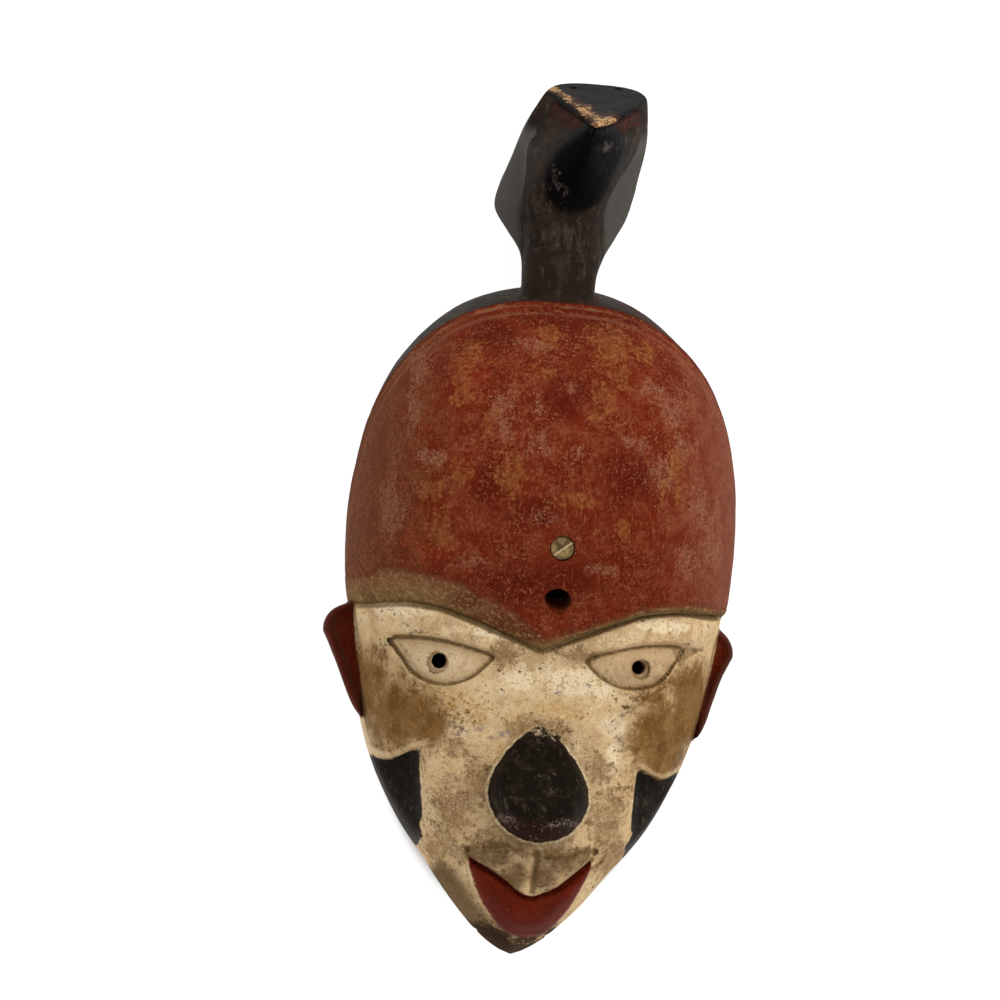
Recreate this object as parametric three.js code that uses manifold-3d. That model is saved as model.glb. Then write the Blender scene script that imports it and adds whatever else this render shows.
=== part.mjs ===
// A West African face mask, carved hollow from one block of wood and painted: a red domed
// forehead over a pointed cream face with a black ball nose, small ears, and a crest that is an
// animal's neck and head. A broken dowel is left in one of the two holes in the forehead.
//
// Millimetres. The mask lies on its back rim, face up: +X is its left-to-right, as seen by
// someone facing it, +Y runs from the chin to the crest, and +Z points out of the face.
// Heights on the face are counted in Y from the tip of the chin.
import * as THREE from "three";
import { mergeVertices } from "three/addons/utils/BufferGeometryUtils.js";
import Module from "manifold-3d";

const wasm = await Module();
wasm.setup();

// The head: one arched shell, from the chin to the crown.
const head = { height: 291, crownFrom: 176, crownRoundness: 2.28, chinRounding: 40, chinSteepness: 2.4 };
const sectionRoundness = { outside: 2.6, hollow: 2 };
// The outline, as [height on the face, half width].
const headWidths = [
  [0, 0], [2, 5.5], [6.5, 12.4], [13, 19.4], [26, 30.6], [39, 40.5], [52, 51], [65, 59],
  [78, 65.5], [91, 70.3], [110, 75], [135, 79.3], [160, 82], [180, 83], [200, 82.3], [215, 80.4],
  [228, 77.6], [241, 73.4], [254, 66.7], [267, 56.6], [280, 41.5], [287, 27], [290, 13], [291, 0],
];
// How far the front stands off the rim, along the middle: [height on the face, depth].
const headDepths = [[0, 48], [20, 60], [45, 67], [75, 70], [110, 73], [140, 78], [180, 86], [291, 88]];
const wall = { side: 9, front: 13, tipTaper: 20 };

// The forehead is a raised cap on the head, with a step all round it. Its hairline is a slanting
// cut, so far off the rim at the crown and falling by so much a millimetre towards the brow.
const dome = { step: 1.8, lift: 13, fullestAt: 196, liftReach: 62 };
const hairline = { atCrown: 44, fall: 0.26 };
// The forehead's lower edge and the foot of the brow ridge under it, as [sideways, height].
const browEdge = [
  [0, 132], [8.5, 135.8], [17, 139.3], [25.5, 142.8], [33, 145.6], [42, 148.7], [50, 150],
  [60, 150.6], [76, 149.3], [120, 148],
];
const ridgeFoot = [
  [0, 127.5], [17, 129.3], [25, 131.6], [34, 134], [44, 136], [58, 136.6], [70, 135.8], [120, 134.5],
];
const browRidge = { raised: 2.6, halfSpan: 84 };

// The features were carved a little askew, and turn by this much about the bridge of the nose.
const askew = THREE.MathUtils.degToRad(2);
const bridge = new THREE.Vector2(0, 120);

const eye = { inner: [19.5, 129], outer: [62, 135], lowerLid: 22, groove: 1.9 };
const eyeDepth = { socket: 3.2, ball: 0.9 };
const pupil = { x: 42.4, y: 126.6, radius: 3.2 };
const nose = { x: 3, y: 71.5, z: 70, halfWidth: 20.8, up: 28, down: 19.5, out: 29, taper: 0.42 };
const noseFront = { ridgeY: 61, ridgeZ: 96, bridgeY: 99, bridgeZ: 75 };
const mouth = { halfWidth: 26.3, cornerY: 45.7, notchY: 28.6, chinY: 9.3, lipRise: 2 };
const parting = { tall: 2.4, deep: 3 };
const cheek = { edge: 45.5, floorZ: 41, slope: 1.05, bottomY: 34, outer: 130, leftHigher: 1.8 };
// The lower edge of each cheekbone, as [sideways, height].
const cheekbone = [[130, 86.4], [68, 86.4], [59, 82.2], [46, 86.8], [0, 86.8]];
const ear = { low: 98, high: 149, root: 72, widestAt: 135, back: 8, front: 29, bevel: 2.4 };
const earReach = { left: 91.2, right: 86.5 };
const hole = { x: 4, upperY: 176, lowerY: 154, radius: 5.3, lowerTilt: THREE.MathUtils.degToRad(18) };
const peg = { radius: 5, sunk: 1.1 };

// The crest stands on the crown: a neck that spreads behind, and an animal's head leaning to the
// right. Its stations climb it: [height over its foot, sideways, half width in front, half width
// behind, how far it reaches back, how far it reaches forward].
const crest = { x: 0, y: 284, z: 28, top: 100 };
const crestStations = [
  [-14, -1, 16.3, 16.3, 14, 15], [8, -0.8, 16.1, 16.1, 14, 14.5], [20, 0.1, 16.5, 18.4, 15, 15],
  [29, -0.8, 16.6, 23.7, 17, 17], [38, -1.6, 17.6, 29, 20, 21], [48, 0.3, 19.3, 29.9, 21.5, 27],
  [56, 2.5, 21.5, 29.3, 22, 35], [65, 4.9, 25, 28.5, 22, 45], [74, 7, 25.8, 27, 22, 54],
  [83, 8.7, 24.3, 24.3, 21, 57], [91, 10.5, 21.6, 21.6, 20, 58], [100, 12.3, 17.6, 17.6, 18, 58],
];
const skull = { backY: 98.3, backZ: -24, snoutY: 70, snoutZ: 58, mouthBelow: 7.5, slit: 2, slitDepth: 2.4 };
// How square the front of each ring is: like a barrel at the neck, and between the two heights it
// narrows to a straight-sided point at the snout, a little sharper on the left.
const crestFront = { neck: 2.6, snoutLeft: 0.82, snoutRight: 1.05, from: 40, to: 74 };
const crestBack = 2.8;

// Smooth value at y through [y, value] stations, by a cubic through each pair of neighbours.
function through(stations, y) {
  const last = stations.length - 1;
  if (y <= stations[0][0]) return stations[0][1];
  if (y >= stations[last][0]) return stations[last][1];
  const i = stations.findIndex(([at], n) => n < last && y >= at && y < stations[n + 1][0]);
  const slope = (n) => {
    const [y0, v0] = stations[Math.max(n - 1, 0)];
    const [y1, v1] = stations[Math.min(n + 1, last)];
    return (v1 - v0) / (y1 - y0);
  };
  const [[y0, v0], [y1, v1]] = [stations[i], stations[i + 1]];
  const gap = y1 - y0;
  const t = (y - y0) / gap;
  return (
    v0 * (2 * t ** 3 - 3 * t ** 2 + 1) + v1 * (3 * t ** 2 - 2 * t ** 3) +
    gap * (slope(i) * (t ** 3 - 2 * t ** 2 + t) + slope(i + 1) * (t ** 3 - t ** 2))
  );
}

// What is left of 1 at share t of the way to a rounded end.
const rounded = (t, roundness) => Math.max(0, 1 - Math.min(1, Math.abs(t)) ** roundness) ** (1 / roundness);

// Half width and depth of the head's section at height y, for a shell grown by so many millimetres.
function section(y, grow, lift) {
  const crownShare = Math.max(0, y - head.crownFrom) / (head.height - head.crownFrom + grow);
  const chinShare = THREE.MathUtils.clamp(1 - (y + grow) / head.chinRounding, 0, 1);
  const ends = rounded(crownShare, head.crownRoundness) * rounded(chinShare, head.chinSteepness);
  // The outline is read nearer its middle, so that a grown shell is wider and taller alike.
  const middle = head.height / 2;
  const read = middle + (y - middle) * (middle / (middle + grow));
  const half = through(headWidths, read);
  const width = half + grow * Math.min(1, half / wall.tipTaper);
  return { width, depth: (through(headDepths, y) + grow + lift(y)) * ends };
}

// Closed faceted solid through rings of points, with a point at either end.
function skin(rings, first, last) {
  const points = [first, ...rings.flat(), last];
  const around = rings[0].length;
  const at = (ring, n) => 1 + ring * around + (n % around);
  const faces = [];
  for (let n = 0; n < around; n++) {
    faces.push(0, at(0, n + 1), at(0, n));
    for (let r = 0; r < rings.length - 1; r++) {
      faces.push(at(r, n), at(r, n + 1), at(r + 1, n + 1), at(r, n), at(r + 1, n + 1), at(r + 1, n));
    }
    faces.push(points.length - 1, at(rings.length - 1, n), at(rings.length - 1, n + 1));
  }
  const geometry = new THREE.BufferGeometry().setFromPoints(points);
  geometry.setIndex(faces);
  return geometry;
}

// A three.js geometry as a solid for joining and cutting, turned right side out.
function solid(geometry) {
  const bare = geometry.clone();
  bare.deleteAttribute("normal");
  bare.deleteAttribute("uv");
  const merged = mergeVertices(bare, 1e-3);
  const triVerts = new Uint32Array(merged.index.array);
  const vertProperties = merged.attributes.position.array;
  const made = new wasm.Manifold(new wasm.Mesh({ numProp: 3, vertProperties, triVerts }));
  if (made.volume() > 0) return made;
  triVerts.reverse();
  return new wasm.Manifold(new wasm.Mesh({ numProp: 3, vertProperties, triVerts }));
}

function geometryOf(made) {
  const { vertProperties, triVerts } = made.getMesh();
  const geometry = new THREE.BufferGeometry();
  geometry.setAttribute("position", new THREE.BufferAttribute(vertProperties, 3));
  geometry.setIndex(new THREE.BufferAttribute(triVerts, 1));
  geometry.computeVertexNormals();
  return geometry;
}

// Row heights: close together at the rounded ends and over the features of the face.
function rowHeights(grow, fineness) {
  const heights = [];
  const spread = (from, to, count, ease) => {
    const rows = Math.max(2, Math.round(count * fineness));
    for (let n = 0; n < rows; n++) heights.push(from + (to - from) * ease((n + 0.5) / rows));
  };
  spread(-grow, 10, 5, (t) => t ** 2);
  spread(10, 108, 16, (t) => t);
  spread(108, 156, 9, (t) => t);
  spread(156, 262, 11, (t) => t);
  spread(262, head.height + grow, 8, (t) => 1 - (1 - t) ** 2);
  return heights;
}

// The arched shell of the head as a solid block, its foot on the rim's plane or below it.
const plainHead = {
  grow: 0,
  lift: () => 0,
  foot: 0,
  fineness: 1,
  columns: 32,
  roundness: sectionRoundness.outside,
};
function headBlock(changes) {
  const { grow, lift, foot, fineness, columns, roundness } = { ...plainHead, ...changes };
  const power = 2 / roundness;
  const rings = rowHeights(grow, fineness).map((y) => {
    const { width, depth } = section(y, grow, lift);
    const ring = [];
    for (let n = 0; n <= columns; n++) {
      const angle = (Math.PI * n) / columns;
      const [c, s] = [Math.cos(angle), Math.sin(angle)];
      const across = -width * Math.sign(c) * Math.abs(c) ** power;
      ring.push(new THREE.Vector3(across, y, depth * Math.max(0, s) ** power));
    }
    if (foot < 0) ring.push(new THREE.Vector3(width, y, foot), new THREE.Vector3(-width, y, foot));
    return ring;
  });
  const end = (y) => new THREE.Vector3(0, y, foot);
  return solid(skin(rings, end(-grow), end(head.height + grow)));
}

const turned = ([x, y]) => new THREE.Vector2(x, y).rotateAround(bridge, askew);

// A prism through the face from an outline in its plane, turned askew as the features are.
const faceSpan = { low: 20, high: 150 };
function prism(outline, low = faceSpan.low, high = faceSpan.high) {
  const shape = new THREE.Shape(outline.map(turned));
  const run = new THREE.ExtrudeGeometry(shape, { depth: high - low, bevelEnabled: false });
  return solid(run.translate(0, 0, low));
}

const mirrored = (outline) => outline.map(([x, y]) => [-x, y]);
const curve = (a, b, c, d, parts) =>
  new THREE.CubicBezierCurve(...[a, b, c, d].map(([x, y]) => new THREE.Vector2(x, y)))
    .getPoints(parts)
    .map((p) => [p.x, p.y]);

// A line over both eyes, from [sideways, height] stations, drawn out to so far each side with its
// points closest in the middle.
function overBothEyes(stations, span) {
  const line = [];
  const [steps, crowding] = [10, 1.4];
  for (let n = -steps; n <= steps; n++) {
    const across = span * (Math.abs(n) / steps) ** crowding;
    line.push([Math.sign(n) * across, through(stations, across)]);
  }
  return line;
}

const domeLift = (y) => dome.lift * Math.exp(-(((y - dome.fullestAt) / dome.liftReach) ** 2));

function foreheadCap() {
  const span = browEdge.at(-1)[0];
  const above = [[span, 2 * head.height], [-span, 2 * head.height]];
  const over = prism([...overBothEyes(browEdge, span), ...above], 0);
  const knife = 700;
  const behind = new THREE.BoxGeometry(knife, knife, knife).translate(0, 0, -knife / 2);
  behind.rotateX(Math.atan(hairline.fall)).translate(0, head.height, hairline.atCrown);
  return headBlock({ grow: dome.step, lift: domeLift }).intersect(over).subtract(solid(behind));
}

// The raised cream ridge under the forehead's edge, its foot the line of the upper lids.
function eyebrow() {
  const { halfSpan, raised } = browRidge;
  const foot = overBothEyes(ridgeFoot, halfSpan).reverse();
  const ridge = prism([...overBothEyes(browEdge, halfSpan), ...foot]);
  return ridge.intersect(headBlock({ grow: raised }));
}

// An almond, its lower lid rounder than its upper one. Inset draws the eyeball inside its groove.
function eyeOutline(inset) {
  const inner = [eye.inner[0] + inset * 2.2, eye.inner[1] - inset * 0.2];
  const outer = [eye.outer[0] - inset * 1.5, eye.outer[1] - inset];
  const from = (corner, across, up) => [corner[0] + across, corner[1] + up];
  const low = inset - eye.lowerLid;
  return [
    ...curve(inner, from(inner, 10.5, 4.5), from(outer, -12, 3.5), outer, 8),
    ...curve(outer, from(outer, -5, low), from(inner, 11, low + 5), inner, 12).slice(1, -1),
  ];
}

// A ball drawn up into a bridge, flattened by the slanting front of the nose.
function noseBall() {
  const ball = new THREE.SphereGeometry(1, 22, 14).rotateX(Math.PI / 2);
  const place = ball.attributes.position;
  for (let n = 0; n < place.count; n++) {
    const [x, y, z] = [place.getX(n), place.getY(n), place.getZ(n)];
    const taper = 1 - nose.taper * Math.max(0, y) ** 1.5;
    const tall = y > 0 ? nose.up : nose.down;
    place.setXYZ(n, nose.x + x * nose.halfWidth * taper, nose.y + y * tall, nose.z + z * nose.out);
  }
  const { ridgeY, ridgeZ, bridgeY, bridgeZ } = noseFront;
  const slope = Math.atan2(ridgeZ - bridgeZ, bridgeY - ridgeY);
  const knife = 160;
  const front = new THREE.BoxGeometry(knife, knife, knife).translate(0, 0, knife / 2).rotateX(-slope);
  return solid(ball).subtract(solid(front.translate(0, ridgeY, ridgeZ)));
}

// The parting line of the lips, from corner to corner, dropped by so many millimetres.
function lipLine(drop) {
  const [w, top, low] = [mouth.halfWidth, mouth.cornerY - drop * 0.4, mouth.notchY - drop];
  const right = curve([0, low], [w * 0.4, low + 0.5], [w * 0.75, top - 9], [w, top], 8);
  return [...mirrored(right).reverse(), ...right.slice(1)];
}

function lowerLip() {
  const corner = [mouth.halfWidth, mouth.cornerY - 1];
  const right = curve(corner, [22.5, 27], [16, 11], [0, mouth.chinY], 9).slice(1);
  const left = mirrored(right).reverse().slice(1);
  return prism([...lipLine(parting.tall), ...right, ...left]);
}

const slit = () => prism([...lipLine(parting.tall), ...lipLine(0).reverse()]);

// The black hollow under a cheekbone: a wedge with its wall at the muzzle's edge.
function cheekHollow(side) {
  const { edge, floorZ, slope, bottomY, outer, leftHigher } = cheek;
  const above = faceSpan.high;
  const floorAtOuter = floorZ - (outer - edge) * slope;
  const corners = [[edge, floorZ], [outer, floorAtOuter], [outer, above], [edge - 2, above]];
  const wedge = new THREE.Shape(corners.map(([x, z]) => new THREE.Vector2(x, z)));
  // The wedge's X and Y are the mask's X and Z, and it runs down the face.
  const length = 120;
  const run = new THREE.ExtrudeGeometry(wedge, { depth: length, bevelEnabled: false });
  const cut = solid(run.rotateX(Math.PI / 2).translate(0, bottomY + length, 0));
  const under = new THREE.Shape([[0, 0], [outer, 0], ...cheekbone].map(([x, y]) => new THREE.Vector2(x, y)));
  const below = new THREE.ExtrudeGeometry(under, { depth: above - 2 * floorAtOuter, bevelEnabled: false });
  const right = cut.intersect(solid(below.translate(0, -side * leftHigher, 2 * floorAtOuter)));
  return side > 0 ? right : right.mirror([1, 0, 0]);
}

// A rounded flange on the side of the head, broad above and running out below.
function earFlange(side) {
  const { root, low, high, widestAt } = ear;
  const reach = side > 0 ? earReach.right : earReach.left;
  const rim = curve([root, low], [root + 7, low + 6], [reach - 9, low + 20], [reach, widestAt], 8);
  const top = curve([reach, widestAt], [reach + 0.5, high - 6], [reach - 6, high - 1], [root, high], 7);
  const rounding = ear.bevel * 0.7;
  const outline = [...rim, ...top.slice(1)];
  const shape = new THREE.Shape(outline.map(([x, y]) => new THREE.Vector2(x - rounding, y)));
  const depth = ear.front - ear.back - 2 * ear.bevel;
  const soft = { depth, bevelSize: rounding, bevelThickness: ear.bevel, bevelSegments: 2 };
  const flange = solid(new THREE.ExtrudeGeometry(shape, soft).translate(0, 0, ear.back + ear.bevel));
  return side > 0 ? flange : flange.mirror([1, 0, 0]);
}

// One level ring of the crest: spread behind, and coming to a point in front near the snout.
function crestRing(height, inset = 0) {
  const value = (n) => through(crestStations.map((s) => [s[0], s[n]]), height);
  const [sideways, before, behind, back, front] = [1, 2, 3, 4, 5].map(value);
  const narrowing = THREE.MathUtils.smoothstep(height, crestFront.from, crestFront.to);
  const ring = [];
  const around = 22;
  for (let n = 0; n < around; n++) {
    const angle = (2 * Math.PI * n) / around;
    const [c, s] = [Math.cos(angle), Math.sin(angle)];
    const snout = s < 0 ? crestFront.snoutLeft : crestFront.snoutRight;
    const power = 2 / (c > 0 ? THREE.MathUtils.lerp(crestFront.neck, snout, narrowing) : crestBack);
    const half = THREE.MathUtils.lerp(before, behind, THREE.MathUtils.smoothstep(-c, -0.3, 0.5)) - inset;
    const reach = (c > 0 ? front : -back) - inset * Math.sign(c);
    const across = sideways + half * Math.sign(s) * Math.abs(s) ** power;
    ring.push(new THREE.Vector3(across, height, reach * Math.abs(c) ** power));
  }
  return ring;
}

function crestColumn(inset) {
  const heights = [];
  for (let h = crestStations[0][0]; h <= crest.top; h += h < 20 ? 10 : 5) heights.push(h);
  const rings = heights.map((h) => crestRing(h, inset));
  return solid(skin(rings, new THREE.Vector3(0, heights[0], 0), new THREE.Vector3(0, heights.at(-1), 0)));
}

// A slab that slopes with the top of the animal's head, from so far under it, so thick.
function skullSlab(below, thickness) {
  const slope = Math.atan2(skull.backY - skull.snoutY, skull.snoutZ - skull.backZ);
  const across = 260;
  const slab = new THREE.BoxGeometry(across, thickness, across).translate(0, thickness / 2 - below, 0);
  return solid(slab.rotateX(slope).translate(0, skull.backY, skull.backZ));
}

function crestHead() {
  const whole = crestColumn(0).subtract(skullSlab(0, crest.top));
  const lipGap = skullSlab(skull.mouthBelow + skull.slit, skull.slit).subtract(crestColumn(skull.slitDepth));
  // The mouth is cut into the front half alone.
  const half = 160;
  const front = solid(new THREE.BoxGeometry(half, half, half).translate(0, half / 2, half / 2 - 6));
  const carved = whole.subtract(lipGap.intersect(front));
  return carved.translate(crest.x, crest.y, crest.z);
}

// A drilled hole: a cylinder along Z, tipped so that its mouth looks down the face.
function drilled(x, y, radius, low, high, tilt = 0, sides = 20) {
  const bore = new THREE.CylinderGeometry(radius, radius, high - low, sides);
  return solid(bore.rotateX(Math.PI / 2 + tilt).translate(x, y, (low + high) / 2));
}

const eyes = [eyeOutline(0), mirrored(eyeOutline(0))];
const eyeballs = [eyeOutline(eye.groove), mirrored(eyeOutline(eye.groove))];

// The bowl cut out behind the face, rounder in section than the outside, so its sides are thick.
const hollow = () =>
  headBlock({
    grow: -wall.side,
    lift: () => wall.side - wall.front,
    foot: -wall.side,
    fineness: 0.5,
    columns: 20,
    roundness: sectionRoundness.hollow,
  });

function carvedMask() {
  let block = headBlock({}).add(foreheadCap()).add(eyebrow());
  for (const side of [-1, 1]) block = block.subtract(cheekHollow(side)).add(earFlange(side));
  const ballLevel = headBlock({ grow: -eyeDepth.ball });
  const socketLevel = headBlock({ grow: -eyeDepth.socket });
  for (const outline of eyes) block = block.subtract(prism(outline).subtract(socketLevel));
  for (const outline of eyeballs) block = block.add(prism(outline).intersect(ballLevel));
  block = block.add(lowerLip().intersect(headBlock({ grow: mouth.lipRise })));
  block = block.subtract(slit().subtract(headBlock({ grow: -parting.deep })));
  block = block.add(noseBall()).add(crestHead());
  block = block.subtract(hollow());
  for (const side of [-1, 1]) {
    const { x, y } = turned([side * pupil.x, pupil.y]);
    block = block.subtract(drilled(x, y, pupil.radius, 20, 120, 0, 16));
  }
  block = block.subtract(drilled(hole.x, hole.upperY, hole.radius, 40, 140));
  return block.subtract(drilled(hole.x, hole.lowerY, hole.radius, 50, 130, hole.lowerTilt));
}

// The dowel left in the upper hole, broken off just under the paint.
function brokenPeg() {
  const within = headBlock({ grow: dome.step - peg.sunk, lift: domeLift });
  return drilled(hole.x, hole.upperY, peg.radius, 40, 140).intersect(within).subtract(hollow());
}

const painted = { name: "painted wood", color: 0x8a5a40, roughness: 0.7, metalness: 0 };
const raw = { name: "raw wood", color: 0x8f7f55, roughness: 0.8, metalness: 0 };

function named(name, made, finish) {
  const mesh = new THREE.Mesh(geometryOf(made), new THREE.MeshStandardMaterial(finish));
  mesh.name = name;
  return mesh;
}

const mask = new THREE.Group();
mask.name = "mask";
mask.add(named("carved_mask", carvedMask(), painted));
mask.add(named("forehead_peg", brokenPeg(), raw));

// The origin is on the rim's plane, under the middle of the whole mask.
const box = new THREE.Box3().setFromObject(mask);
mask.position.set(-(box.min.x + box.max.x) / 2, -(box.min.y + box.max.y) / 2, -box.min.z);

const placed = new THREE.Group();
placed.add(mask);
export default placed;
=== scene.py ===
# %% [markdown]
# # A painted face mask, carved from one block
#
# The real thing is one hollowed block of light wood. A domed red forehead hangs over a pointed
# cream face with a black ball nose, and an animal's neck and head stand on the crown. The stub of
# a dowel is left in one of two holes in the forehead.
#
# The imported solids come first, as a fixed frame. Everything after them is built around their box.

# %% The fixed frame
import math

import bpy
import numpy as np
from mathutils import Matrix, Vector


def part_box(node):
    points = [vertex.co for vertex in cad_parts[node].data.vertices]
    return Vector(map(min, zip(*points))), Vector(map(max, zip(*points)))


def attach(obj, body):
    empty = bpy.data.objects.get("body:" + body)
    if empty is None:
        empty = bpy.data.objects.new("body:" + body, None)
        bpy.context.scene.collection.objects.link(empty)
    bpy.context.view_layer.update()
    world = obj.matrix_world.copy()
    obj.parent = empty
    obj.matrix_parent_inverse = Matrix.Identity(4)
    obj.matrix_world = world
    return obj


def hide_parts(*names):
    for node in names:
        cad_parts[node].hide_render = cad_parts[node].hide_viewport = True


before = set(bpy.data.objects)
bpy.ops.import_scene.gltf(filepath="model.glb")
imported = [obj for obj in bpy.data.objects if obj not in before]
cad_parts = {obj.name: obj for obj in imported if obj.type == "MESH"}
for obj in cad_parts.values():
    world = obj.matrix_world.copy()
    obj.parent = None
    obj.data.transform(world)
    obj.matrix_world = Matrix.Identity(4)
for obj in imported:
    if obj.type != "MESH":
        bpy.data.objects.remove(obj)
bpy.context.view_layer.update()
mask_low, mask_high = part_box("carved_mask")
print("the packed mask runs from", tuple(mask_low), "to", tuple(mask_high))

# %% [markdown]
# ## The carver's rulers
#
# A carver measures the face from the tip of the chin, so every size below is in millimetres:
# across from the middle line, up from the chin, and out from the back rim. A helper turns these
# into Blender's metres. A smooth curve through a few measured stations gives the outline and the
# depth at any height, which is how a template for the block would be cut.

# %% Rulers and smooth stations
MM = 0.001
LEFT_EAR_REACH = 91.23
CHIN = mask_low.y
MIDDLE = mask_low.x + LEFT_EAR_REACH * MM


def to_metres(points):
    """Face millimetres to the frame's metres."""
    return points * MM + np.array([MIDDLE, CHIN, 0])


def through(stations, at):
    """Smooth values at some heights, through [height, value] stations."""
    heights, values = np.array(stations, float).T
    last = len(heights) - 1
    up = np.minimum(np.arange(last + 1) + 1, last)
    down = np.maximum(np.arange(last + 1) - 1, 0)
    slopes = (values[up] - values[down]) / (heights[up] - heights[down])
    at = np.clip(at, heights[0], heights[-1])
    i = np.clip(np.searchsorted(heights, at, "right") - 1, 0, last - 1)
    gap = heights[i + 1] - heights[i]
    t = (at - heights[i]) / gap
    plain = values[i] * (2 * t**3 - 3 * t**2 + 1) + values[i + 1] * (3 * t**2 - 2 * t**3)
    return plain + gap * (slopes[i] * (t**3 - 2 * t**2 + t) + slopes[i + 1] * (t**3 - t**2))


def ramp(low, high, value):
    """0 at low, 1 at high, smooth between and level beyond."""
    t = np.clip((value - low) / (high - low), 0, 1)
    return t * t * (3 - 2 * t)


def bump(value, width):
    """1 at 0, dying away over about that width."""
    return np.exp(-((value / width) ** 2))


print(f"the chin is at y = {CHIN:.4f} m and the middle line at x = {MIDDLE:.4f} m")

# %% [markdown]
# ## Carving with distances
#
# Wood is carved by taking away and every edge ends a little soft, which joined boxes and spheres
# don't show. So the mask is one formula here: for any point it gives about how many millimetres
# the point lies outside the wood, or inside it when negative. Two such shapes are joined, kept in
# common or cut with a small blend, and the blend is the carver's rounded edge.

# %% Joining, keeping and cutting
def join(a, b, blend):
    h = np.clip(0.5 + 0.5 * (b - a) / blend, 0, 1)
    return b + (a - b) * h - blend * h * (1 - h)


def keep(a, b, blend):
    return -join(-a, -b, blend)


def cut(a, tool, blend):
    return keep(a, -tool, blend)


print(f"a 2 mm blend fills an inner corner by {-join(0.0, 0.0, 2.0):.1f} mm")

# %% [markdown]
# ## The shell
#
# Each level section of the head is an arch that stands on the back rim: a squared-off oval, with
# the outline's half width and the middle's depth. Dividing by the slope of that oval turns it into
# millimetres. The forehead is the same arch, grown and lifted, and the hollow is a rounder and
# smaller one, so the walls are thin in the middle and thick at the sides, as a gouge leaves them.

# %% Sizes of the shell
HEIGHT = 291.0
CROWN_FROM, CROWN_ROUNDNESS = 176.0, 2.28
CHIN_ROUNDING, CHIN_STEEPNESS = 40.0, 2.4
OUTSIDE_ROUNDNESS, HOLLOW_ROUNDNESS = 2.6, 2.0
WIDTHS = [
    [0, 0], [2, 5.5], [6.5, 12.4], [13, 19.4], [26, 30.6], [39, 40.5], [52, 51], [65, 59],
    [78, 65.5], [91, 70.3], [110, 75], [135, 79.3], [160, 82], [180, 83], [200, 82.3], [215, 80.4],
    [228, 77.6], [241, 73.4], [254, 66.7], [267, 56.6], [280, 41.5], [287, 27], [290, 13], [291, 0],
]
DEPTHS = [[0, 48], [20, 60], [45, 67], [75, 70], [110, 73], [140, 78], [180, 86], [291, 88]]
WALL_SIDE, WALL_FRONT, TIP_TAPER = 9.0, 13.0, 20.0
DOME_STEP, DOME_LIFT, DOME_FULLEST, DOME_REACH = 1.8, 13.0, 196.0, 62.0
STEEPEST, TIP = 3.0, 0.5


def rounded(share, roundness):
    return np.maximum(0, 1 - np.clip(np.abs(share), 0, 1) ** roundness) ** (1 / roundness)


def template(grow, lift):
    """Heights, half widths and depths of the arch, grown by so many millimetres."""
    y = np.arange(-8, HEIGHT + 8, 0.25)
    crown = np.maximum(0, y - CROWN_FROM) / (HEIGHT - CROWN_FROM + grow)
    chin = np.clip(1 - (y + grow) / CHIN_ROUNDING, 0, 1)
    ends = rounded(crown, CROWN_ROUNDNESS) * rounded(chin, CHIN_STEEPNESS)
    middle = HEIGHT / 2
    read = middle + (y - middle) * (middle / (middle + grow))
    half = through(WIDTHS, read)
    half = half + grow * np.minimum(1, half / TIP_TAPER)
    depth = (through(DEPTHS, y) + grow + lift(y)) * ends
    return y, np.maximum(half, 0.4), np.maximum(depth, 0.4)


def oval_distance(x, z, half, depth, half_slope, depth_slope, roundness):
    """Millimetres outside a squared-off oval whose size changes along the height."""
    across = np.maximum(np.abs(x) / half, 1e-4)
    out = np.maximum(np.maximum(z, 0) / depth, 1e-4)
    gauge = np.maximum((across**roundness + out**roundness) ** (1 / roundness), 0.05)
    pull = gauge ** (1 - roundness)
    slope_x = pull * across ** (roundness - 1) / half
    slope_z = pull * out ** (roundness - 1) / depth
    slope_y = pull * (across**roundness * half_slope / half + out**roundness * depth_slope / depth)
    return (gauge - 1) / np.sqrt(slope_x**2 + slope_y**2 + slope_z**2)


def arch(grow, lift, roundness):
    """A function that gives the distance to the arch at any points."""
    heights, half, depth = template(grow, lift)
    slopes = [np.clip(np.gradient(v, heights), -STEEPEST, STEEPEST) for v in (half, depth)]
    low, high = -grow, HEIGHT + grow

    def distance(x, y, z):
        within = np.clip(y, low + TIP, high - TIP)
        at = [np.interp(within, heights, v) for v in (half, depth, *slopes)]
        d = oval_distance(x, z, *at, roundness)
        d = np.where(d > 0, np.hypot(d, y - within), d)
        return np.maximum(d, np.maximum(low - y, y - high))

    return distance


def no_lift(y):
    return 0 * y


def dome_lift(y):
    return DOME_LIFT * bump(y - DOME_FULLEST, DOME_REACH)


head = arch(0, no_lift, OUTSIDE_ROUNDNESS)
forehead = arch(DOME_STEP, dome_lift, OUTSIDE_ROUNDNESS)
hollow = arch(-WALL_SIDE, lambda y: WALL_SIDE - WALL_FRONT + 0 * y, HOLLOW_ROUNDNESS)
print(f"the face is {2 * max(w for _, w in WIDTHS):.0f} mm wide and {HEIGHT:.0f} mm tall over its rim")

# %% [markdown]
# ## Drawing on the block
#
# The eyes, lips and ears have outlines that a carver draws on the wood with a pencil. Each is a
# few curves here. Every point of a fine sheet of squares is measured against the outline once, and
# afterwards the distance from the line is read off the sheet, which is quick and the same each run.
# The features were carved a little askew, turned by two degrees about the bridge of the nose.

# %% Curves for the outlines
ASKEW = math.radians(2)
BRIDGE = 120.0


def askew(x, y):
    """Where points lie in the features' own upright frame."""
    c, s = math.cos(ASKEW), math.sin(ASKEW)
    return c * x + s * (y - BRIDGE), -s * x + c * (y - BRIDGE) + BRIDGE


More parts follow.
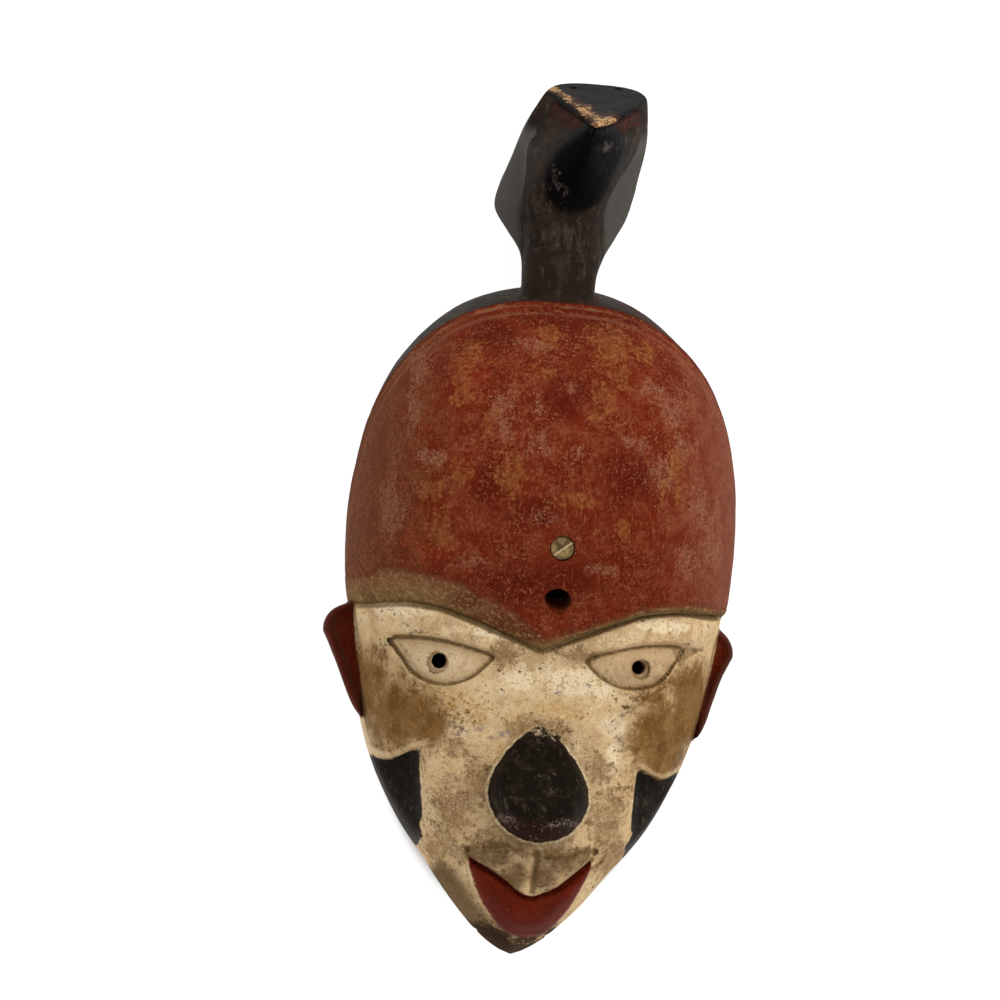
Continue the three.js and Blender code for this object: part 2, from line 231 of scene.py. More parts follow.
def curve(a, b, c, d, parts):
    """Points along a curve with two handles."""
    t = np.linspace(0, 1, parts + 1)[:, None]
    a, b, c, d = (np.array(p, float) for p in (a, b, c, d))
    return (1 - t) ** 3 * a + 3 * (1 - t) ** 2 * t * b + 3 * (1 - t) * t**2 * c + t**3 * d


def freehand(points, parts=5):
    """A smooth line through a few points."""
    steps = np.arange(len(points))
    at = np.linspace(0, len(points) - 1, (len(points) - 1) * parts + 1)
    columns = np.array(points, float).T
    return np.column_stack([through(np.column_stack([steps, c]), at) for c in columns])


print(f"the features are turned by {math.degrees(ASKEW):.0f} degrees about a point {BRIDGE:.0f} mm up")

# %% A sheet of squares that knows how far each outline is
SHEET_SQUARE, SHEET_MARGIN = 0.4, 14.0


def line_distance(line, x, y, closed):
    """Distance from an outline, positive inside it when it's closed."""
    nearest = np.full(x.shape, 1e9)
    inside = np.zeros(x.shape, bool)
    ends = np.roll(line, -1, axis=0) if closed else line[1:]
    for (ax, ay), (bx, by) in zip(line[: len(ends)], ends):
        dx, dy = bx - ax, by - ay
        t = np.clip(((x - ax) * dx + (y - ay) * dy) / (dx * dx + dy * dy + 1e-12), 0, 1)
        nearest = np.minimum(nearest, np.hypot(x - ax - t * dx, y - ay - t * dy))
        if closed and dy:
            inside ^= ((ay > y) != (by > y)) & (x < ax + (y - ay) * dx / dy)
    return np.where(inside, nearest, -nearest) if closed else nearest


def drawn(line, closed=True):
    """A function that reads the distance from a drawn line off a sheet around it."""
    line = np.array(line, float)
    low, high = line.min(0) - SHEET_MARGIN, line.max(0) + SHEET_MARGIN
    xs = np.arange(low[0], high[0], SHEET_SQUARE)
    ys = np.arange(low[1], high[1], SHEET_SQUARE)
    sheet = line_distance(line, *np.meshgrid(xs, ys, indexing="ij"), closed)

    def read(x, y):
        u = np.clip((x - low[0]) / SHEET_SQUARE, 0, len(xs) - 1.001)
        v = np.clip((y - low[1]) / SHEET_SQUARE, 0, len(ys) - 1.001)
        i, j = u.astype(int), v.astype(int)
        u, v = u - i, v - j
        near = sheet[i, j] * (1 - u) + sheet[i + 1, j] * u
        far = sheet[i, j + 1] * (1 - u) + sheet[i + 1, j + 1] * u
        return near * (1 - v) + far * v

    return read


in_square = drawn([[0, 0], [10, 0], [10, 10], [0, 10]])
print(f"the middle of a 10 mm square lies {in_square(5.0, 5.0):.1f} mm inside it")

# %% [markdown]
# ## The brow
#
# The forehead ends in a wide V that hangs over the eyes. Its edge isn't a plain step: on the
# viewer's left it is rolled over in a broad moulding with a scored line above, and on the right it
# is cut almost square. Under it runs a raised cream ridge, whose foot is the line of the upper lids.

# %% Sizes of the brow
FURTHEST = 130.0
BROW_EDGE = [
    [0, 132], [8.5, 135.8], [17, 139.3], [25.5, 142.8], [33, 145.6], [42, 148.7], [50, 150],
    [60, 150.6], [76, 149.3], [FURTHEST, 148],
]
RIDGE_FOOT = [
    [0, 127.5], [17, 129.3], [25, 131.6], [34, 134], [44, 136], [58, 136.6], [70, 135.8], [FURTHEST, 134.5],
]
RIDGE_RAISED, RIDGE_HALF_SPAN, CRISP_FOOT, SOFT_FOOT = 2.6, 84.0, 1.8, 8.0
HAIR_AT_CROWN, HAIR_FALL = 44.0, 0.26
# Two lines are scored along the hair: how far in front of it, how deep and how wide.
HAIR_LINES, HAIR_LINES_START = [(5.5, 0.7, 1.1), (12.5, 0.45, 1.6)], (170, 215)
# A line is scored over the roll: its depth is a share of the roll's own, then its width.
ROLL_LINE_SHARE, ROLL_LINE_WIDE = 0.12, 1.1
# How tall the rolled edge is from the left of the face to the right, and how far it drops back.
ROLL_TALL = [
    [-90, 12], [-74, 13.2], [-66.8, 15.6], [-52.6, 13.6], [-35.9, 12], [-18.8, 10.7], [-10, 8.8],
    [0, 6], [8, 3.5], [16, 2.6], [33, 2.2], [49, 2.6], [68, 3.4], [90, 3.5],
]
ROLL_DEEP = [[-90, 1], [-80, 1.4], [-62, 6], [-20, 5.5], [0, 3.2], [12, 1.6], [90, 1.6]]
across_table = np.arange(-FURTHEST, FURTHEST, 0.5)
edge_table = through(BROW_EDGE, np.abs(across_table))
foot_table = through(RIDGE_FOOT, np.abs(across_table))
roll_tall_table, roll_deep_table = through(ROLL_TALL, across_table), through(ROLL_DEEP, across_table)
print(f"the roll is {roll_tall_table.min():.1f} to {roll_tall_table.max():.1f} mm tall")


def below(line, x, y):
    """Millimetres below a line across the face, in the features' frame."""
    steep = np.interp(x, across_table, np.gradient(line, across_table))
    return (np.interp(x, across_table, line) - y) / np.sqrt(1 + steep**2)


def before_hairline(y, z):
    """Millimetres in front of the slanting cut that ends the forehead's cap."""
    return (z - HAIR_AT_CROWN + HAIR_FALL * (HEIGHT - y)) / math.hypot(1, HAIR_FALL)


def cap(x, y, z, fx, brow):
    """Distance to the forehead, with its rolled lower edge and the scored lines at the hair."""
    tall = np.interp(fx, across_table, roll_tall_table)
    deep = np.interp(fx, across_table, roll_deep_table)
    rolled = deep * np.clip(1 + brow / tall, 0, 1) ** 1.5
    scored = ROLL_LINE_SHARE * deep * bump(brow + tall + 0.5, ROLL_LINE_WIDE)
    skin = forehead(x, y, z) + rolled + scored
    front = before_hairline(y, z)
    for ahead, line_deep, line_wide in HAIR_LINES:
        skin = skin + ramp(*HAIR_LINES_START, y) * line_deep * bump(front - ahead, line_wide)
    return keep(keep(skin, brow, 2.2), -front, 1.6)


# %% [markdown]
# ## The eyes
#
# Each eye is an almond cut in with a line all round. The left one has a second line under it for
# the lower lid, and beside the right one is a small three-cornered hollow. The pupils are drilled
# right through so that a wearer can see, each with a wider mouth that leans outwards.

# %% Sizes of the eyes
LEFT_BALL = [
    [-19.8, 129], [-23.3, 125.1], [-29.4, 119.8], [-37.7, 116.9], [-45.9, 117.4], [-53.5, 121.4],
    [-58.7, 128.4], [-63.5, 134.5],
]
RIGHT_BALL = [
    [19.2, 128.6], [23.3, 124.1], [30, 119.6], [39.2, 117.3], [50, 119.3], [57.3, 127.2], [61, 135.3],
]
LEFT_LID = [[-29, 119], [-37.6, 115.2], [-45.8, 114.3], [-52.1, 116.6], [-58.5, 122], [-64.5, 129]]
OUTER_HOLLOW = [[56.5, 135.8], [62, 136.2], [71.5, 135.6], [65, 131.5], [59.8, 127.5]]
PUPIL_X, PUPIL_Y, PUPIL_RADIUS = 42.4, 126.6, 3.0
PUPIL_MOUTH, MOUTH_SHIFT, MOUTH_DEEP = 4.2, 0.7, 2.4
EYE_FRONT, EYE_SUNK, EYE_SWELL, SWELL_OVER = (30, 45), 1.5, 0.9, 8.0
EYE_LINE_DEEP, EYE_LINE_WIDE, LID_LINE_WIDE, OUTER_DEEP, CRISP = 0.6, 0.6, 0.8, 1.7, 0.5


def almond(lower):
    """A closed eye from its lower line, its upper one following the ridge's foot."""
    lower = freehand(lower)
    across = np.linspace(lower[-1, 0], lower[0, 0], 18)[1:-1]
    return np.vstack([lower, np.column_stack([across, through(RIDGE_FOOT, np.abs(across)) - 0.4])])


in_left_eye, in_right_eye = drawn(almond(LEFT_BALL)), drawn(almond(RIGHT_BALL))
left_lid_line = drawn(freehand(LEFT_LID), closed=False)
in_outer_hollow = drawn(OUTER_HOLLOW)
print(f"the pupils are drilled {2 * PUPIL_RADIUS:.0f} mm wide and {2 * PUPIL_X:.0f} mm apart")


def carve_eyes(body, base, x, y, z):
    """Sinks the eyeballs, scores the lids and drills the pupils."""
    front = ramp(*EYE_FRONT, z)
    eye = np.where(x < 0, in_left_eye(x, y), in_right_eye(x, y))
    ball = base + EYE_SUNK - EYE_SWELL * ramp(0, SWELL_OVER, eye)
    body = cut(body, np.maximum(-eye, -ball), CRISP)
    body = body + front * EYE_LINE_DEEP * bump(eye + 0.1, EYE_LINE_WIDE)
    lid = bump(left_lid_line(x, y), LID_LINE_WIDE)
    body = body + front * EYE_LINE_DEEP * lid * ramp(-1, -2.2, eye)
    outer = ramp(-0.8, 1.6, in_outer_hollow(x, y))
    body = body + front * OUTER_DEEP * outer * ramp(-0.4, -1.4, eye)
    side = np.abs(x) - PUPIL_X
    mouth = np.hypot(side - MOUTH_SHIFT, y - PUPIL_Y + MOUTH_SHIFT) - PUPIL_MOUTH
    body = cut(body, np.maximum(mouth, -(base + MOUTH_DEEP)), CRISP)
    return cut(body, np.hypot(side, y - PUPIL_Y) - PUPIL_RADIUS, CRISP)


# %% [markdown]
# ## The nose
#
# The nose is a ball drawn up into a bridge and sliced by one slanting cut, which leaves its flat
# front and the worn ledge below. It stands a little right of the middle and leans back to it.

# %% Size and shape of the nose
NOSE_X, NOSE_LEAN, NOSE_Y, NOSE_Z = 3.2, 1.6, 71.5, 70.0
NOSE_HALF, NOSE_UP, NOSE_DOWN, NOSE_OUT, NOSE_TAPER = 20.8, 28.0, 19.5, 29.0, 0.42
NOSE_RIDGE_Y, NOSE_RIDGE_Z, NOSE_BRIDGE_Y, NOSE_BRIDGE_Z = 61.0, 96.0, 99.0, 75.0
NOSE_TILT = math.atan2(NOSE_RIDGE_Z - NOSE_BRIDGE_Z, NOSE_BRIDGE_Y - NOSE_RIDGE_Y)
print(f"the slice across the nose slants by {math.degrees(NOSE_TILT):.0f} degrees")


def before_nose(y, z):
    """Millimetres in front of the slice across the nose."""
    return (y - NOSE_RIDGE_Y) * math.sin(NOSE_TILT) + (z - NOSE_RIDGE_Z) * math.cos(NOSE_TILT)


def nose(x, y, z):
    """Distance to the ball of the nose, with its front sliced off."""
    up = y - NOSE_Y
    tall = np.where(up > 0, NOSE_UP, NOSE_DOWN)
    wide = NOSE_HALF * (1 - NOSE_TAPER * np.clip(up / tall, 0, 1) ** 1.5)
    centre = NOSE_X - NOSE_LEAN * np.clip(up / NOSE_UP, -1, 1)
    p = [(x - centre) / wide, up / tall, (z - NOSE_Z) / NOSE_OUT]
    gauge = np.sqrt(p[0] ** 2 + p[1] ** 2 + p[2] ** 2) + 1e-6
    slope = np.sqrt((p[0] / wide) ** 2 + (p[1] / tall) ** 2 + (p[2] / NOSE_OUT) ** 2) + 1e-6
    return keep(gauge * (gauge - 1) / slope, before_nose(y, z), 3.0)


# %% [markdown]
# ## The mouth
#
# The lips are low relief: a full lower lip like a wide V, and above a scored line two soft
# swellings with a groove between them. Each corner ends in a small drilled pit.

# %% Sizes of the mouth
LIP_FRONT, LIP_GAP = (22, 36), 2.4
CORNER_PITS, PIT_DEEP, PIT_EDGE = [[-26.8, 46.8], [26.9, 47.4]], 2.2, (2.0, 0.9)
LIP_STEP, LIP_SWELL, PARTING_DEEP, PARTING_WIDE = 1.5, 0.9, 1.7, 1.1
# The two swellings of the upper lip: how far out, how high, how they rise, and their half sizes.
SWELL_RAISED, SWELL_X, SWELL_Y, SWELL_RISE, SWELL_WIDE, SWELL_TALL = 3.2, 12, 39, 0.22, 9, 6
UPPER_LINE_DEEP, UPPER_LINE_WIDE = 0.4, 1.3
GROOVE_DEEP, GROOVE_WIDE, GROOVE_BANK, BANK_AWAY, BANK_WIDE = 1.5, 1.2, 0.6, 3.2, 1.5
PARTING = [
    [-26.5, 43.8], [-21.9, 41.2], [-17.7, 38.9], [-11.2, 34.5], [-4.4, 29.4], [0.5, 27.9], [6.3, 29.7],
    [12.7, 32.8], [19, 38.1], [25.7, 44],
]
LIP_SIDES = [
    [26, 42], [25.7, 38.6], [20.2, 26.1], [14.5, 17.5], [9.2, 11.2], [3, 8.9], [-4, 9.3], [-10.5, 12.2],
    [-16.2, 19.1], [-20.9, 26], [-25.3, 35.8], [-26.8, 42],
]
UPPER_LIP = [
    [-25.5, 48.6], [-19, 50.2], [-11, 49.4], [-3.5, 46.2], [1.8, 45.8], [8, 48], [17, 48.4], [25, 47.6],
]
GROOVE = [[1.6, 47], [1.9, 43], [1, 37], [0.8, 29.6]]

red_edge = freehand(PARTING)
lower_edge = red_edge - [0, LIP_GAP]
lower_edge[[0, -1]] = red_edge[[0, -1]]
in_red_lip = drawn(np.vstack([red_edge, freehand(LIP_SIDES)]))
in_lower_lip = drawn(np.vstack([lower_edge, freehand(LIP_SIDES)]))
lips_meet = drawn((red_edge + lower_edge) / 2, closed=False)
upper_lip_top = drawn(freehand(UPPER_LIP), closed=False)
philtrum = drawn(freehand(GROOVE), closed=False)
print(f"the lips are {np.ptp(red_edge[:, 0]):.0f} mm wide")


def carve_mouth(body, x, y, z):
    """Raises the lips and scores the mouth, the groove above it and its corners."""
    front, side = ramp(*LIP_FRONT, z), np.abs(x)
    lip = in_lower_lip(x, y)
    body = body - front * (LIP_STEP * ramp(-0.5, 1.3, lip) + LIP_SWELL * ramp(1, 6.5, lip))
    swell = bump(side - SWELL_X, SWELL_WIDE) * bump(y - SWELL_Y - SWELL_RISE * side, SWELL_TALL)
    body = body - front * SWELL_RAISED * swell * ramp(0.6, -1.2, in_red_lip(x, y))
    body = body + front * PARTING_DEEP * bump(lips_meet(x, y), PARTING_WIDE)
    body = body + front * UPPER_LINE_DEEP * bump(upper_lip_top(x, y), UPPER_LINE_WIDE)
    away = philtrum(x, y)
    banks = GROOVE_BANK * bump(away - BANK_AWAY, BANK_WIDE)
    body = body + front * (GROOVE_DEEP * bump(away, GROOVE_WIDE) - banks)
    for pit_x, pit_y in CORNER_PITS:
        body = body + front * PIT_DEEP * ramp(*PIT_EDGE, np.hypot(x - pit_x, y - pit_y))
    return body


# %% [markdown]
# ## The hollows of the cheeks
#
# Under each cheekbone a wedge is cut away down to the jaw, with the muzzle as its inner wall. The
# cheekbone's edge is left rolled, and its line dips in the middle.

# %% Size and shape of the cheek hollows
CHEEK_EDGE, CHEEK_FLOOR, CHEEK_SLOPE, CHEEK_BOTTOM, LEFT_HIGHER = 45.5, 41.0, 1.05, 34.0, 1.8
CHEEK_CORNER, BONE_ROLL = 5.0, 4.0
CHEEKBONE = [[0, 87.4], [44, 87.4], [50, 85], [58, 82.2], [68, 86], [FURTHEST, 86]]
# On the left the wall leans outwards higher up, and the cheekbone's line droops at its outer end.
LEFT_LEAN, LEFT_UPRIGHT_AT, LEFT_DROOP, DROOP_FROM, DROOP_TO = 0.13, 66.0, 5.0, 52, 68
print(f"the cheek hollows start {CHEEK_EDGE} mm from the middle and slope by {CHEEK_SLOPE} to 1")


def under_cheekbone(x, y):
    """Millimetres below the edge of the cheekbone."""
    edge = through(CHEEKBONE, np.abs(x)) - np.sign(x) * LEFT_HIGHER
    return edge - LEFT_DROOP * ramp(DROOP_FROM, DROOP_TO, -x) - y


def past_wall(x, y):
    """Millimetres to the side of the muzzle's wall."""
    return np.abs(x) - CHEEK_EDGE - np.where(x < 0, LEFT_LEAN, 0) * (y - LEFT_UPRIGHT_AT)


def cheek_hollow(x, y, z):
    """Distance to the wedge that is cut away under each cheekbone."""
    side = past_wall(x, y)
    floor = CHEEK_FLOOR - side * CHEEK_SLOPE
    above_floor = (z - floor) / math.hypot(1, CHEEK_SLOPE)
    wedge = keep(-side, -above_floor, CHEEK_CORNER)
    wedge = keep(wedge, -under_cheekbone(x, y), BONE_ROLL)
    return np.maximum(wedge, CHEEK_BOTTOM - y)


# %% [markdown]
# ## The ears and the holes
#
# The ears are rounded flanges left standing at the sides, scooped in front, the left one wider.
# The two holes in the forehead are drilled right through; the lower one looks down the face.

# %% Ears and drilled holes
EAR_LOW, EAR_HIGH, EAR_ROOT, EAR_WIDEST, EAR_BACK, EAR_FRONT = 98.0, 149.0, 72.0, 135.0, 8.0, 29.0
EAR_REACHES, SCOOP_DEEP, EAR_ROUND = (91.2, 86.5), 2.8, 6.0
HOLE_X, UPPER_HOLE_Y, LOWER_HOLE_Y, HOLE_RADIUS = 4.0, 176.0, 154.0, 5.3
LOWER_HOLE_TILT, LOWER_HOLE_MIDDLE = math.radians(18), 90.0


def ear_outline(reach):
    """An ear's outline, as far out as it reaches."""
    low, root, widest = (EAR_ROOT, EAR_LOW), (EAR_ROOT, EAR_HIGH), (reach, EAR_WIDEST)
    rim = curve(low, (EAR_ROOT + 7, EAR_LOW + 6), (reach - 9, EAR_LOW + 20), widest, 12)
    top = curve(widest, (reach + 0.5, EAR_HIGH - 6), (reach - 6, EAR_HIGH - 1), root, 10)
    return np.vstack([rim, top[1:]])


in_left_ear, in_right_ear = (drawn(ear_outline(reach)) for reach in EAR_REACHES)
print(f"the ears stand out {EAR_REACHES[0] - EAR_ROOT:.0f} and {EAR_REACHES[1] - EAR_ROOT:.0f} mm")


def ears(x, y, z):
    """Distance to the two ears."""
    outline = np.where(x < 0, in_left_ear(-x, y), in_right_ear(x, y))
    middle, half = (EAR_BACK + EAR_FRONT) / 2, (EAR_FRONT - EAR_BACK) / 2
    scoop = SCOOP_DEEP * ramp(2.2, 5.5, outline) * ramp(middle, EAR_FRONT, z)
    return keep(-outline, np.abs(z - middle) - half, EAR_ROUND) + scoop


def upper_hole(x, y):
    """Distance to the hole that keeps the stub of the peg."""
    return np.hypot(x - HOLE_X, y - UPPER_HOLE_Y) - HOLE_RADIUS


def lower_hole(x, y, z):
    """Distance to the empty hole, which is drilled at a slant."""
    s, c = math.sin(LOWER_HOLE_TILT), math.cos(LOWER_HOLE_TILT)
    across = (y - LOWER_HOLE_Y) * c + (z - LOWER_HOLE_MIDDLE) * s
    return np.hypot(x - HOLE_X, across) - HOLE_RADIUS


# %% [markdown]
# ## The crest
#
# A neck stands on the crown and carries an animal's head that leans to the right. Its level
# sections are ovals too: broader behind than in front low down, and coming to a point higher up,
# where one sloping slice makes the flat top of the head with its V-shaped snout. Under the snout
# run a scored line and the sunk band of the mouth. Below them the keel, which is the sharp front of
# the neck, is worn round and scooped out for the throat.

# %% Sizes and shape of the crest
CREST_FOOT_Y, CREST_Z, CREST_TOP = 284.0, 28.0, 100.0
# Height over the foot, sideways, half width in front and behind, reach back, reach forward.
CREST = np.array([
    [-14, -1, 16.3, 16.3, 14, 15], [8, -0.8, 16.1, 16.1, 14, 14.5], [20, 0.1, 16.5, 18.4, 15, 15],
    [29, -0.8, 16.6, 23.7, 17, 17], [38, -1.6, 17.6, 29, 20, 21], [48, 0.3, 19.3, 29.9, 21.5, 27],
    [56, 2.5, 21.5, 29.3, 22, 35], [65, 4.9, 25, 28.5, 22, 45], [74, 7, 25.8, 27, 22, 54],
    [83, 8.7, 24.3, 24.3, 21, 57], [91, 10.5, 21.6, 21.6, 20, 58], [100, 12.3, 17.6, 17.6, 18, 58],
], float)
SKULL_BACK_Y, SKULL_BACK_Z, SNOUT_Y, SNOUT_Z = 98.3, -24.0, 70.0, 58.0
SKULL_TILT = math.atan2(SKULL_BACK_Y - SNOUT_Y, SNOUT_Z - SKULL_BACK_Z)
# How square the sections are: like a barrel at the neck, and almost straight-sided at the snout.
NECK_SQUARE, SNOUT_LEFT, SNOUT_RIGHT, BACK_SQUARE = 2.6, 0.82, 1.05, 2.8
SNOUT_STARTS = (40, 74)
THROAT_X, THROAT_UP, THROAT_LEAN, THROAT_HALF, THROAT_TALL = 5.4, 54.0, 0.27, 14.0, 17.5
KEEL_ROUND, THROAT_DEEP = 3.4, 1.2
# The scored line under the flat top and the sunk band below it, as millimetres under the top.
MOUTH_LINE, MOUTH_LINE_DEEP, MOUTH_LINE_WIDE = 2.6, 1.2, 0.8
BAND_TOP, BAND_FOOT, BAND_DEEP, TOP_EDGE = (1.8, 2.8), (10.5, 8), 1.3, 1.6
NOSTRILS, NOSTRIL_DEEP, NOSTRIL_EDGE = [[0.5, 19.5], [20.2, 16]], 1.8, (1.7, 0.8)
crest_heights = np.arange(-14, CREST_TOP + 0.1, 0.5)
crest_columns = [through(CREST[:, [0, n]], crest_heights) for n in range(1, 6)]
crest_slopes = [np.gradient(column, crest_heights) for column in crest_columns]
print(f"the flat top of the animal's head slopes by {math.degrees(SKULL_TILT):.0f} degrees")


def throat(x, y):
    """0 in the middle of the throat's hollow and 1 at its edge."""
    up = y - CREST_FOOT_Y - THROAT_UP
    return np.hypot((x - THROAT_X - THROAT_LEAN * up) / THROAT_HALF, up / THROAT_TALL)


def above_skull(y, z):
    """Millimetres above the flat top of the animal's head."""
    up, out = y - CREST_FOOT_Y - SKULL_BACK_Y, z - CREST_Z - SKULL_BACK_Z
    return up * math.cos(SKULL_TILT) + out * math.sin(SKULL_TILT)


def crest_column(x, y, z):
    """Distance to the neck and head before the top is sliced."""
    h, out = y - CREST_FOOT_Y, z - CREST_Z
    sideways, before, behind, back, front = (np.interp(h, crest_heights, c) for c in crest_columns)
    slopes = [np.interp(h, crest_heights, c) for c in crest_slopes]
    ahead = out > 0
    reach = np.where(ahead, front, back)
    mix = ramp(-0.08, 0.26, -out / reach)
    half = before + (behind - before) * mix
    half_slope = slopes[1] + (slopes[2] - slopes[1]) * mix
    reach_slope = np.where(ahead, slopes[4], slopes[3])
    snout = np.where(x < sideways, SNOUT_LEFT, SNOUT_RIGHT)
    roundness = np.where(ahead, NECK_SQUARE + (snout - NECK_SQUARE) * ramp(*SNOUT_STARTS, h), BACK_SQUARE)
    keel = KEEL_ROUND * ramp(1.25, 0.7, throat(x, y)) * ahead
    across = np.hypot(x - sideways, keel)
    return oval_distance(across, np.abs(out), half, reach, half_slope, reach_slope, roundness)


def crest(x, y, z):
    """Distance to the neck and the head on it."""
    d = crest_column(x, y, z)
    ahead = ramp(2, 14, z - CREST_Z)
    down = -above_skull(y, z)
    d = d + ahead * THROAT_DEEP * ramp(1.12, 0.45, throat(x, y))
    band = BAND_DEEP * ramp(*BAND_TOP, down) * ramp(*BAND_FOOT, down)
    d = d + ahead * (band + MOUTH_LINE_DEEP * bump(down - MOUTH_LINE, MOUTH_LINE_WIDE))
    below_foot = CREST[0, 0] - (y - CREST_FOOT_Y)
    d = keep(np.maximum(d, below_foot), -down, TOP_EDGE)
    for at_x, at_z in NOSTRILS:
        pit = ramp(*NOSTRIL_EDGE, np.hypot(x - at_x, z - at_z))
        d = d + NOSTRIL_DEEP * pit * ramp(-4, -2, -down)
    return d


# %% [markdown]
# ## The whole carving
#
# The steps follow the carver's: the block with its cap and ridge, then what is cut into the face,
# then what is left standing on it, and last the hollow, the drilled holes and the flat rim.

# %% The whole carving as one formula
# How softly each part meets the next, in millimetres.
CAP_MEETS, CHEEK_MEETS, NOSE_MEETS, EAR_MEETS, CREST_MEETS, HOLLOW_MEETS = 1.0, 1.8, 1.6, 1.6, 2.5, 2.0
DRILLED_EDGE, RIM_EDGE, DRILLED_ABOVE = 0.7, 1.5, 40


def carving(x, y, z):
    """About how many millimetres a point lies outside the wood."""
    fx, fy = askew(x, y)
    base = head(x, y, z)
    brow, foot = below(edge_table, fx, fy), below(foot_table, fx, fy)
    side = np.abs(fx)
    softness = CRISP_FOOT + SOFT_FOOT * (ramp(22, 8, side) + ramp(64, 76, side))
    ridge = ramp(0, 2.2, brow) * ramp(0, 1, -foot / softness) * ramp(25, 40, z)
    body = base - RIDGE_RAISED * ridge * ramp(RIDGE_HALF_SPAN, RIDGE_HALF_SPAN - 8, side)
    body = join(body, cap(x, y, z, fx, brow), CAP_MEETS)
    body = cut(body, cheek_hollow(x, y, z), CHEEK_MEETS)
    near = y < 160
    body[near] = carve_eyes(body[near], base[near], fx[near], fy[near], z[near])
    near = y < 66
    body[near] = carve_mouth(body[near], fx[near], fy[near], z[near])
    near = (y < 112) & (np.abs(x) < 40)
    body[near] = join(body[near], nose(x[near], y[near], z[near]), NOSE_MEETS)
    near = (np.abs(x) > 60) & (y < 165)
    body[near] = join(body[near], ears(x[near], y[near], z[near]), EAR_MEETS)
    near = y > 262
    body[near] = join(body[near], crest(x[near], y[near], z[near]), CREST_MEETS)
    body = cut(body, hollow(x, y, z), HOLLOW_MEETS)
    for tool in (upper_hole(x, y), lower_hole(x, y, z)):
        body = cut(body, np.maximum(tool, DRILLED_ABOVE - z), DRILLED_EDGE)
    return keep(body, -z, RIM_EDGE)


tip = carving(*np.array([[0.0], [150.0], [200.0]]))
print(f"a point 200 mm over the table is {tip[0]:.0f} mm from the wood")


# %% [markdown]
# ## From the formula to a mesh
#
# Blender could build this from remeshed and joined primitives, but a remesh softens every scored
# line. Instead the formula is sampled on a fine cubic grid, one point is put in each cube that the
# surface passes through, and neighbouring points are tied into faces. Then each point is walked
# along the slope until it sits on the surface. Only cubes near the surface are worked out in full.

# %% The formula sampled on a grid
COARSE = 4.0
FINE = 0.95
MARGIN = 3.0


def grid_axes(step):
    low = [(mask_low.x - MIDDLE) / MM, 0, 0]
    size = [(mask_high[i] - mask_low[i]) / MM for i in range(3)]
    return [np.arange(a - MARGIN, a + b + MARGIN + step, step) for a, b in zip(low, size)]


def sample(step):
    """Signed distances on the grid, exact near the surface and only right in sign elsewhere."""
    rough_axes = grid_axes(COARSE)
    rough = carving(*(a.ravel() for a in np.meshgrid(*rough_axes, indexing="ij")))
    rough = rough.reshape([len(a) for a in rough_axes])
    axes = grid_axes(step)
    nearest = []
    for a, r in zip(axes, rough_axes):
        nearest.append(np.clip(np.rint((a - r[0]) / COARSE).astype(int), 0, len(r) - 1))
    values = rough[np.ix_(*nearest)]
    near = np.abs(values) < 2.2 * COARSE
    where = np.nonzero(near)
    values[near] = carving(*(a[i] for a, i in zip(axes, where)))
    print(f"{near.sum()} of {near.size} grid points lie near the surface")
    return values, axes


values, axes = sample(FINE)


# %% Points and faces where the formula passes through zero
def net(values, axes, step):
    """Points and four-sided faces where the values pass through zero."""
    corners = np.array([[i, j, k] for i in (0, 1) for j in (0, 1) for k in (0, 1)])
    nx, ny, nz = values.shape
    inside = values < 0
    count = np.zeros((nx - 1, ny - 1, nz - 1), np.int8)
    for i, j, k in corners:
        count += inside[i : nx - 1 + i, j : ny - 1 + j, k : nz - 1 + k]
    active = (count > 0) & (count < 8)
    cells = np.argwhere(active)
    number = np.full(active.shape, -1)
    number[active] = np.arange(len(cells))
    total, crossings = np.zeros((len(cells), 3)), np.zeros(len(cells))
    for a in corners:
        for axis in range(3):
            if a[axis]:
                continue
            b = a.copy()
            b[axis] = 1
            va, vb = values[tuple((cells + a).T)], values[tuple((cells + b).T)]
            crossed = (va < 0) != (vb < 0)
            t = np.where(crossed, va / np.where(crossed, va - vb, 1), 0)
            total += (a + np.outer(t, b - a)) * crossed[:, None]
            crossings += crossed
    origin = np.array([a[0] for a in axes])
    points = origin + step * (cells + total / crossings[:, None])
    faces = []
    for axis in range(3):
        u, v = (axis + 1) % 3, (axis + 2) % 3
        first = [slice(None)] * 3
        second = [slice(None)] * 3
        first[axis], second[axis] = slice(0, -1), slice(1, None)
        a, b = inside[tuple(first)], inside[tuple(second)]
        edges = np.argwhere(a != b)
        edges = edges[(edges[:, u] > 0) & (edges[:, v] > 0)]
        step_u, step_v = np.eye(3, dtype=int)[u], np.eye(3, dtype=int)[v]
        around = [edges, edges - step_u, edges - step_u - step_v, edges - step_v]
        quads = np.column_stack([number[tuple(c.T)] for c in around])
        flip = ~a[tuple(edges.T)]
        quads[flip] = quads[flip][:, ::-1]
        faces.append(quads)
    return points, np.vstack(faces)


points, faces = net(values, axes, FINE)
print(f"the net has {len(points)} points and {len(faces)} faces")

# %% [markdown]
# ## Fewer faces where nobody looks
#
# An even net spends half its faces on the hollow behind. Blender's Decimate modifier merges edges
# where the surface is flat, and a vertex group tells it to take most of them from the inside, so
# the scored lines in front keep their crispness within a sensible number of triangles.

# %% The mesh of the mask, thinned out
TRIANGLES = 190000
FRONT_SHARE, SPARE_WALL, SPARE_RIM = 0.25, 1.5, 3


def slope(points, reach=0.25):
    """The formula's slope at some points."""
    x, y, z = points.T
    return np.column_stack([
        carving(x + reach, y, z) - carving(x - reach, y, z),
        carving(x, y + reach, z) - carving(x, y - reach, z),
        carving(x, y, z + reach) - carving(x, y, z - reach),
    ]) / (2 * reach)


